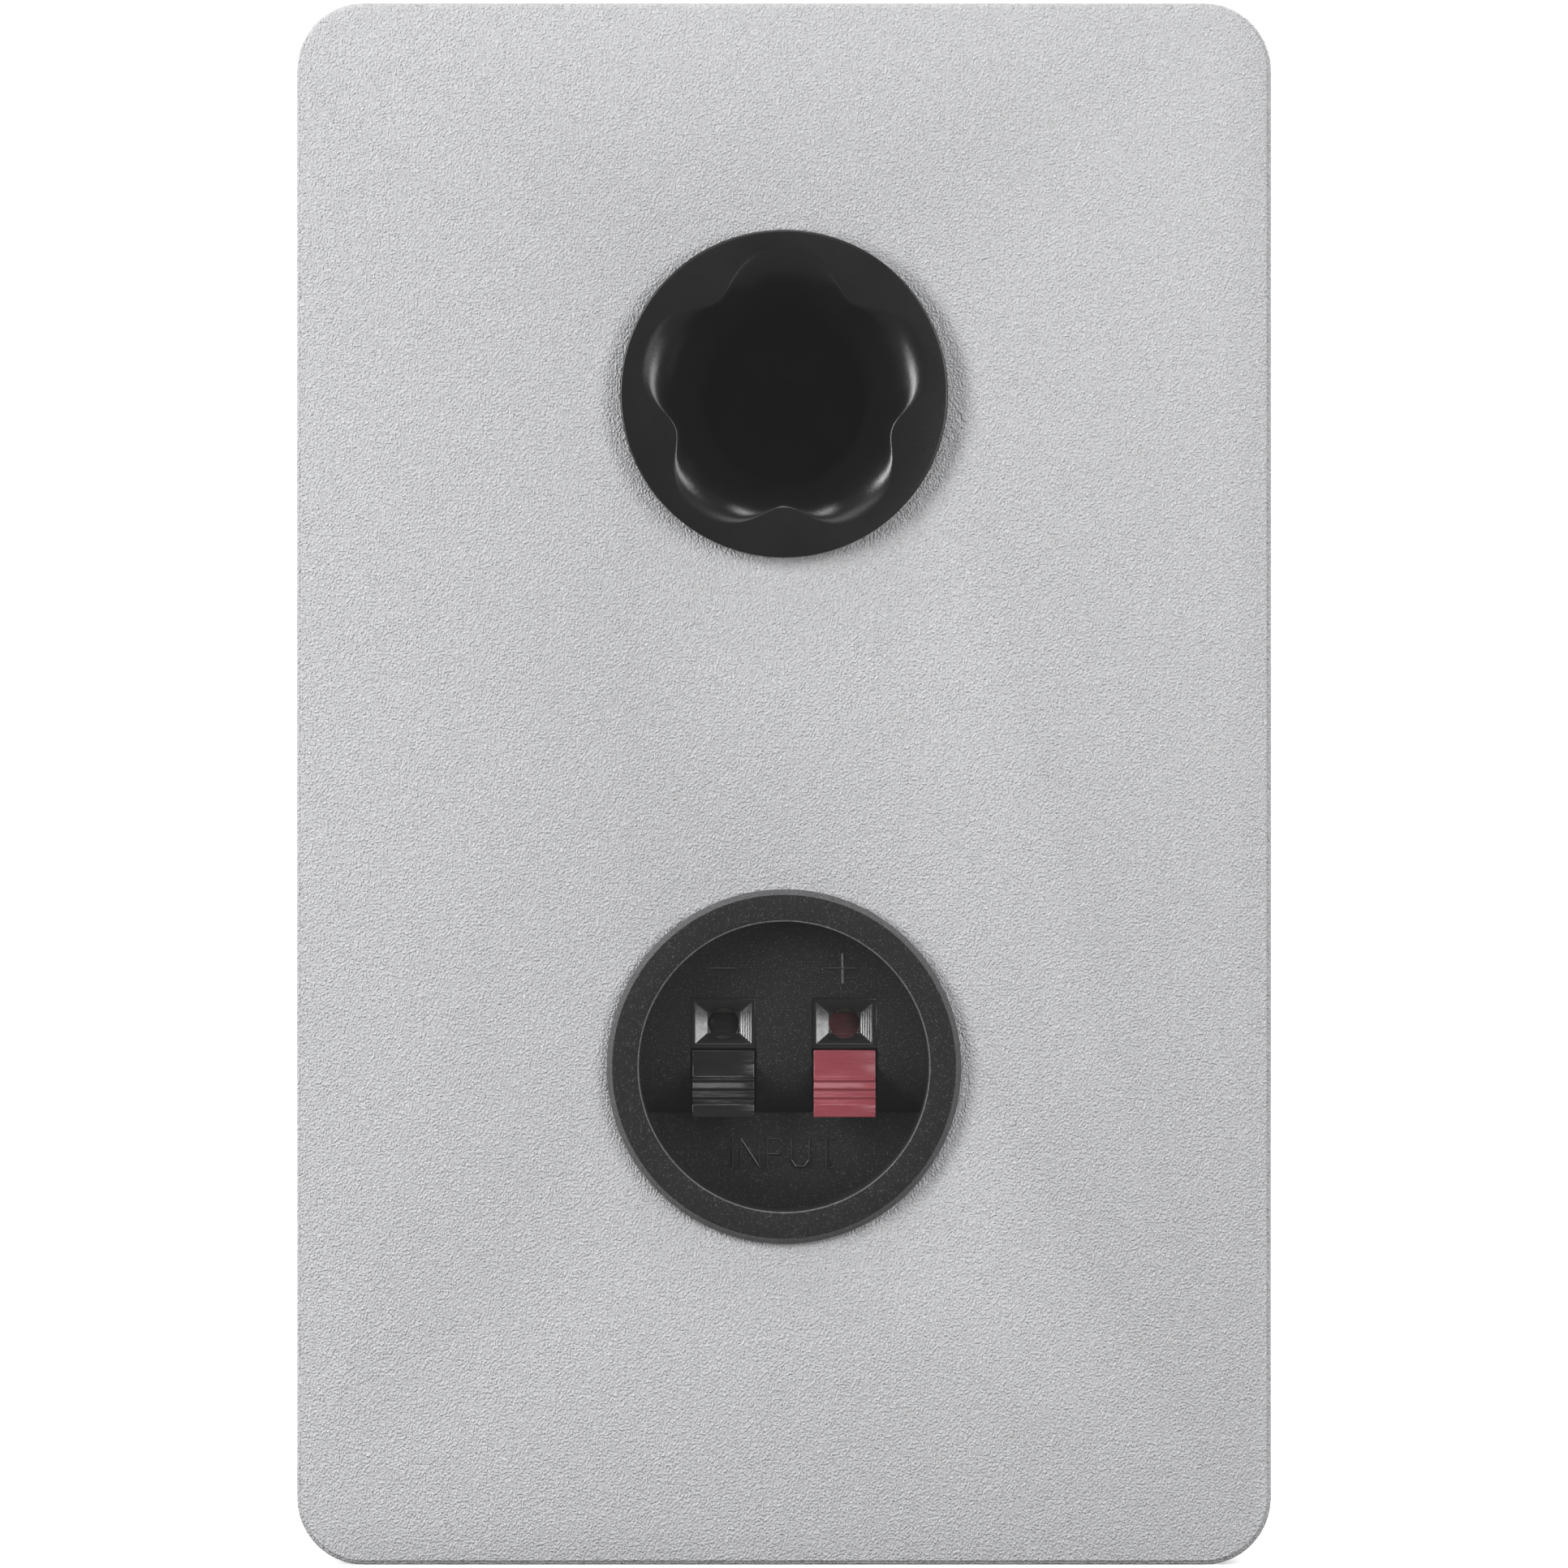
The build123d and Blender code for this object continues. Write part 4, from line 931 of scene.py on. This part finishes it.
def build_cup_marks(materials):
    """Polarity signs over the windows and the plain word for the socket under the levers."""
    low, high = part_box("terminal_cup")
    rim_y = high.y
    middle_z = (low.z + high.z) / 2
    sign_z = middle_z + SIGN_RISE
    half = SIGN_HALF
    upper_y = rim_y - CUP_FLOOR_DEPTH

    def flat(z):
        return upper_y

    def lower_floor(z):
        drop = middle_z - z
        return rim_y - (LOWER_FLOOR_DEPTH + (drop - LOWER_FLOOR_START) * LOWER_FLOOR_SLOPE)

    minus = [((MINUS_X - half, sign_z), (MINUS_X + half, sign_z))]
    plus = [((PLUS_X - half, sign_z), (PLUS_X + half, sign_z)),
            ((PLUS_X, sign_z - half), (PLUS_X, sign_z + half))]
    raised_strokes(materials, "minus_sign", minus, flat)
    raised_strokes(materials, "plus_sign", plus, flat)
    base_z = middle_z - WORD_DROP
    left_x = (sum(width for width, _ in LETTERS) * MM + LETTER_GAP * (len(LETTERS) - 1)) / 2
    strokes = []
    for width, lines in LETTERS:
        for line in lines:
            ends = [(left_x - across * width * MM, base_z + up * LETTER_HEIGHT) for across, up in line]
            strokes.append(ends)
        left_x -= width * MM + LETTER_GAP
    raised_strokes(materials, "socket_word", strokes, lower_floor, LETTER_STROKE)


# ================================================================ pieces that flex
ROLL_SKIN = 0.6 * MM
ROLL_LIP_RADIUS = 38.6 * MM
ROLL_INNER_RADIUS = 40.3 * MM
ROLL_OUTER_RADIUS = 46.5 * MM
ROLL_LEDGE_STEP = 1.5 * MM
ROLL_CREST_MARGIN = 0.1 * MM
SPIDER_SKIN = 0.4 * MM
SPIDER_COIL_RADIUS = 10.2 * MM
SPIDER_FLAT = 2.0 * MM
SPIDER_GLUE_WIDTH = 3.2 * MM
SPIDER_WAVES = 4
TWEETER_SKIN = 0.35 * MM
TWEETER_ROLL_INNER = 12.65 * MM
TWEETER_ROLL_OUTER = 15.1 * MM
TWEETER_ROLL_HEIGHT = 1.2 * MM
TWEETER_ROLL_STEP = 0.1 * MM


def node_axis_z(node):
    low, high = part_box(node)
    return (low.z + high.z) / 2


def half_roll(inner, outer, height, skin):
    """Front and back (radius, y) lines of a half-roll that bulges forward between two (radius, y) feet."""
    front = []
    back = []
    steps = 14
    middle = (inner[0] + outer[0]) / 2
    half = (outer[0] - inner[0]) / 2
    for step in range(steps + 1):
        turn = math.pi * step / steps
        share = (1 - math.cos(turn)) / 2
        foot_y = inner[1] + (outer[1] - inner[1]) * share
        rise = height * math.sin(turn)
        front.append((middle - half * math.cos(turn), foot_y - rise))
        back.append((middle - (half - skin) * math.cos(turn), foot_y + skin - rise))
    return front, back


def flexing_ring(materials, node, profile, sectors, slot):
    """A ring built in sectors, each a closed piece of its own; the CAD node is hidden."""
    centre_z = node_axis_z(node)
    turn = 360.0 / sectors
    segments = max(6, 192 // sectors)
    for index in range(sectors):
        points, faces = spun_mesh(profile, centre_z, index * turn, (index + 1) * turn, segments)
        made = mesh_object(f"{node}_{index + 1:02d}", points, faces, materials[slot], 50.0)
        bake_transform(made)
        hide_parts(node)


def build_woofer_surround(materials):
    """Half-roll rubber edge with flat lips glued to the cone and the frame."""
    low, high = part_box("woofer_surround")
    inner = (ROLL_INNER_RADIUS, high.y - ROLL_SKIN)
    outer = (ROLL_OUTER_RADIUS, high.y - ROLL_LEDGE_STEP - ROLL_SKIN)
    lip_outer = (high.x - low.x) / 2
    height = (inner[1] + outer[1]) / 2 - low.y - ROLL_CREST_MARGIN
    front, back = half_roll(inner, outer, height, ROLL_SKIN)
    profile = [(ROLL_LIP_RADIUS, inner[1])] + front + [(lip_outer, outer[1])]
    profile += [(lip_outer, outer[1] + ROLL_SKIN)] + back[::-1] + [(ROLL_LIP_RADIUS, inner[1] + ROLL_SKIN)]
    flexing_ring(materials, "woofer_surround", profile, 48,
                 "surround_rubber")


def build_woofer_spider(materials):
    """Corrugated cloth disc between the coil and the frame."""
    low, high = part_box("woofer_spider")
    first = SPIDER_COIL_RADIUS + SPIDER_FLAT
    outer_radius = (high.x - low.x) / 2
    last = outer_radius - SPIDER_GLUE_WIDTH
    wave_height = (high.y - low.y - SPIDER_SKIN) / 2
    rest_y = high.y - SPIDER_SKIN
    top = [(SPIDER_COIL_RADIUS, rest_y)]
    steps = 10 * SPIDER_WAVES
    for step in range(steps + 1):
        share = step / steps
        rise = wave_height * (math.cos(2 * math.pi * SPIDER_WAVES * share) - 1)
        top.append((first + (last - first) * share, rest_y + rise))
    top.append((outer_radius, rest_y))
    profile = top + [(radius, y + SPIDER_SKIN) for radius, y in reversed(top)]
    flexing_ring(materials, "woofer_spider", profile, 12,
                 "spider_cloth")


def build_tweeter_surround(materials):
    """Small cloth half-roll between the dome and its clamped rim."""
    low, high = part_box("tweeter_surround")
    clamp_y = high.y - TWEETER_SKIN
    inner = (TWEETER_ROLL_INNER, clamp_y - TWEETER_ROLL_STEP)
    outer = (TWEETER_ROLL_OUTER, clamp_y)
    lip_outer = (high.x - low.x) / 2
    front, back = half_roll(inner, outer, TWEETER_ROLL_HEIGHT, TWEETER_SKIN)
    profile = front + [(lip_outer, clamp_y), (lip_outer, clamp_y + TWEETER_SKIN)] + back[::-1]
    flexing_ring(materials, "tweeter_surround", profile, 12,
                 "dome_silk")


def node_copy(materials, node, name):
    """The node's mesh again as a piece of its own, for a node that bends or flattens."""
    data = NODES[node].data.copy()
    made = bpy.data.objects.new(name, data)
    bpy.context.scene.collection.objects.link(made)
    slot = slot_of_node(node)
    finish_piece(made, materials[slot], 40.0)
    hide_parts(node)
    return made


def build_tinsel_leads(materials):
    """The braided leads as a piece of their own, copied from the node."""
    made = node_copy(materials, "woofer_tinsel_leads", "woofer_tinsel_braid")
    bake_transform(made)


def build_clip_springs(materials):
    """Each coil spring as a piece of its own on the root body, copied from its node."""
    for side in ("negative", "positive"):
        node = f"clip_spring_{side}"
        made = node_copy(materials, node, f"clip_spring_coil_{side}")
        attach(made, "root")
        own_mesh(made)


# ================================================================ wadding pads
PAD_THICKNESS = 14.0 * MM
PAD_CUTS = 15
PAD_PINCH = 0.04
PAD_EDGE_SHARE = 0.30
PAD_CROWN_SHARE = 0.62
PAD_PUFF_SHARE = 0.08


def pad_point(centre, half, corner, side):
    """Where a corner of the unit box goes: crowned in the middle, thin at the rim, sides pulled in."""
    x, y, z = corner
    pinch = PAD_PINCH * (1 - y * y) * (z * z) ** 2 + PAD_PINCH * (1 - z * z) * (y * y) ** 2
    crown = max(0.0, (1 - y**4) * (1 - z**4)) ** 0.35
    puff = mathutils.noise.noise(Vector((x, y * 3.0, z * 4.5 + side * 7.0)))
    thickness = PAD_EDGE_SHARE + PAD_CROWN_SHARE * crown + PAD_PUFF_SHARE * crown * puff
    return Vector((
        centre.x + half.x * x * thickness,
        centre.y + half.y * y * (1 - pinch),
        centre.z + half.z * z * (1 - pinch),
    ))


def build_wadding(materials):
    """Two crowned pads of polyester wadding."""
    low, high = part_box("damping_pads")
    half = Vector((PAD_THICKNESS / 2, (high.y - low.y) / 2, (high.z - low.z) / 2))
    for side, name in ((-1, "wadding_pad_left"), (1, "wadding_pad_right")):
        centre = Vector((side * (high.x - half.x), (low.y + high.y) / 2, (low.z + high.z) / 2))
        work = bmesh.new()
        bmesh.ops.create_cube(work, size=2.0)
        bmesh.ops.subdivide_edges(work, edges=work.edges, cuts=PAD_CUTS, use_grid_fill=True)
        for corner in work.verts:
            corner.co = pad_point(centre, half, corner.co, side)
        data = bpy.data.meshes.new("wadding")
        work.to_mesh(data)
        work.free()
        made = bpy.data.objects.new(name, data)
        bpy.context.scene.collection.objects.link(made)
        finish_piece(made, materials["wadding"], 180.0)
        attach(made, "root")
        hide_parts("damping_pads")


# ================================================================ driver screws
SCREW_HEAD = 3.3 * MM
SCREW_SHANK = 1.6 * MM
SCREW_HEAD_HEIGHT = 1.8 * MM
SCREW_POINT = 3.0 * MM
CROSS_LONG = 1.75
CROSS_NARROW = 0.42
CROSS_TAPER = 0.72
CROSS_DEPTH = 1.1 * MM
CROSS_CLEAR = 0.3 * MM
SCREW_FIRST_TURN = 23.0
SCREW_NEXT_TURN = 71.0


def cross_cutter(face_y):
    """Two tapered bars crossed, which cut the recess in a screw head."""
    points = []
    faces = []
    for wide, tall in ((CROSS_LONG, CROSS_NARROW), (CROSS_NARROW, CROSS_LONG)):
        base = len(points)
        for shrink, y in ((1.0, face_y - CROSS_CLEAR), (CROSS_TAPER, face_y + CROSS_DEPTH)):
            for x, z in ((-1, -1), (1, -1), (1, 1), (-1, 1)):
                points.append((x * wide * shrink * MM, y, z * tall * shrink * MM))
        for face in ((0, 1, 2, 3), (7, 6, 5, 4), (0, 4, 5, 1), (1, 5, 6, 2), (2, 6, 7, 3), (3, 7, 4, 0)):
            faces.append(tuple(base + index for index in face))
    return plain_object("screw_cross", points, faces)


def screw_shape(face_y, point_y):
    """A countersunk screw on the axis through the origin, with a cross recess."""
    profile = [
        (0.0, face_y + 0.05 * MM),
        (SCREW_HEAD - 0.35 * MM, face_y + 0.02 * MM),
        (SCREW_HEAD - 0.10 * MM, face_y + 0.06 * MM),
        (SCREW_HEAD, face_y + 0.22 * MM),
        (SCREW_SHANK, face_y + SCREW_HEAD_HEIGHT),
        (SCREW_SHANK, point_y - SCREW_POINT),
        (0.0, point_y),
    ]
    points, faces = spun_mesh(profile, 0.0, segments=48)
    blank = weld(plain_object("screw_blank", points, faces))
    cutter = cross_cutter(face_y)
    cut = blank.modifiers.new("recess", "BOOLEAN")
    cut.object = cutter
    cut.operation = "DIFFERENCE"
    cut.solver = "EXACT"
    cut.use_self = True
    bpy.context.view_layer.update()
    shape = bpy.data.meshes.new_from_object(blank.evaluated_get(bpy.context.evaluated_depsgraph_get()))
    bpy.data.objects.remove(blank)
    bpy.data.objects.remove(cutter)
    return shape


def build_driver_screws(materials, node, plate, count, circle, first_angle):
    """Screws flush with the plate they hold, each turned differently."""
    low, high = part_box(node)
    centre_z = node_axis_z(plate)
    shape = screw_shape(low.y, high.y)
    for index in range(count):
        angle = math.radians(first_angle + 360.0 * index / count)
        data = shape.copy()
        turned = Matrix.Rotation(math.radians(SCREW_FIRST_TURN + SCREW_NEXT_TURN * index), 4, "Y")
        across = (circle * math.cos(angle), 0.0, centre_z + circle * math.sin(angle))
        data.transform(Matrix.Translation(across) @ turned)
        made = bpy.data.objects.new(f"{node}_{index + 1}", data)
        bpy.context.scene.collection.objects.link(made)
        finish_piece(made, materials["screw_black"], 30.0)
        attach(made, "root")
        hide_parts(node)


# ================================================================ build
rear_camera()
white_world()
soft_lights()
pale_floor()
MATERIALS = make_materials()
dress_nodes(MATERIALS)
soften_pieces(MATERIALS)
build_port_flare(MATERIALS)
build_cup_marks(MATERIALS)
build_woofer_surround(MATERIALS)
build_woofer_spider(MATERIALS)
build_tweeter_surround(MATERIALS)
build_tinsel_leads(MATERIALS)
build_clip_springs(MATERIALS)
build_wadding(MATERIALS)
build_driver_screws(MATERIALS, "woofer_screws", "woofer_basket", 4, 52.6 * MM, 45.0)
build_driver_screws(MATERIALS, "tweeter_screws", "tweeter_faceplate", 3, 33.4 * MM, 90.0)
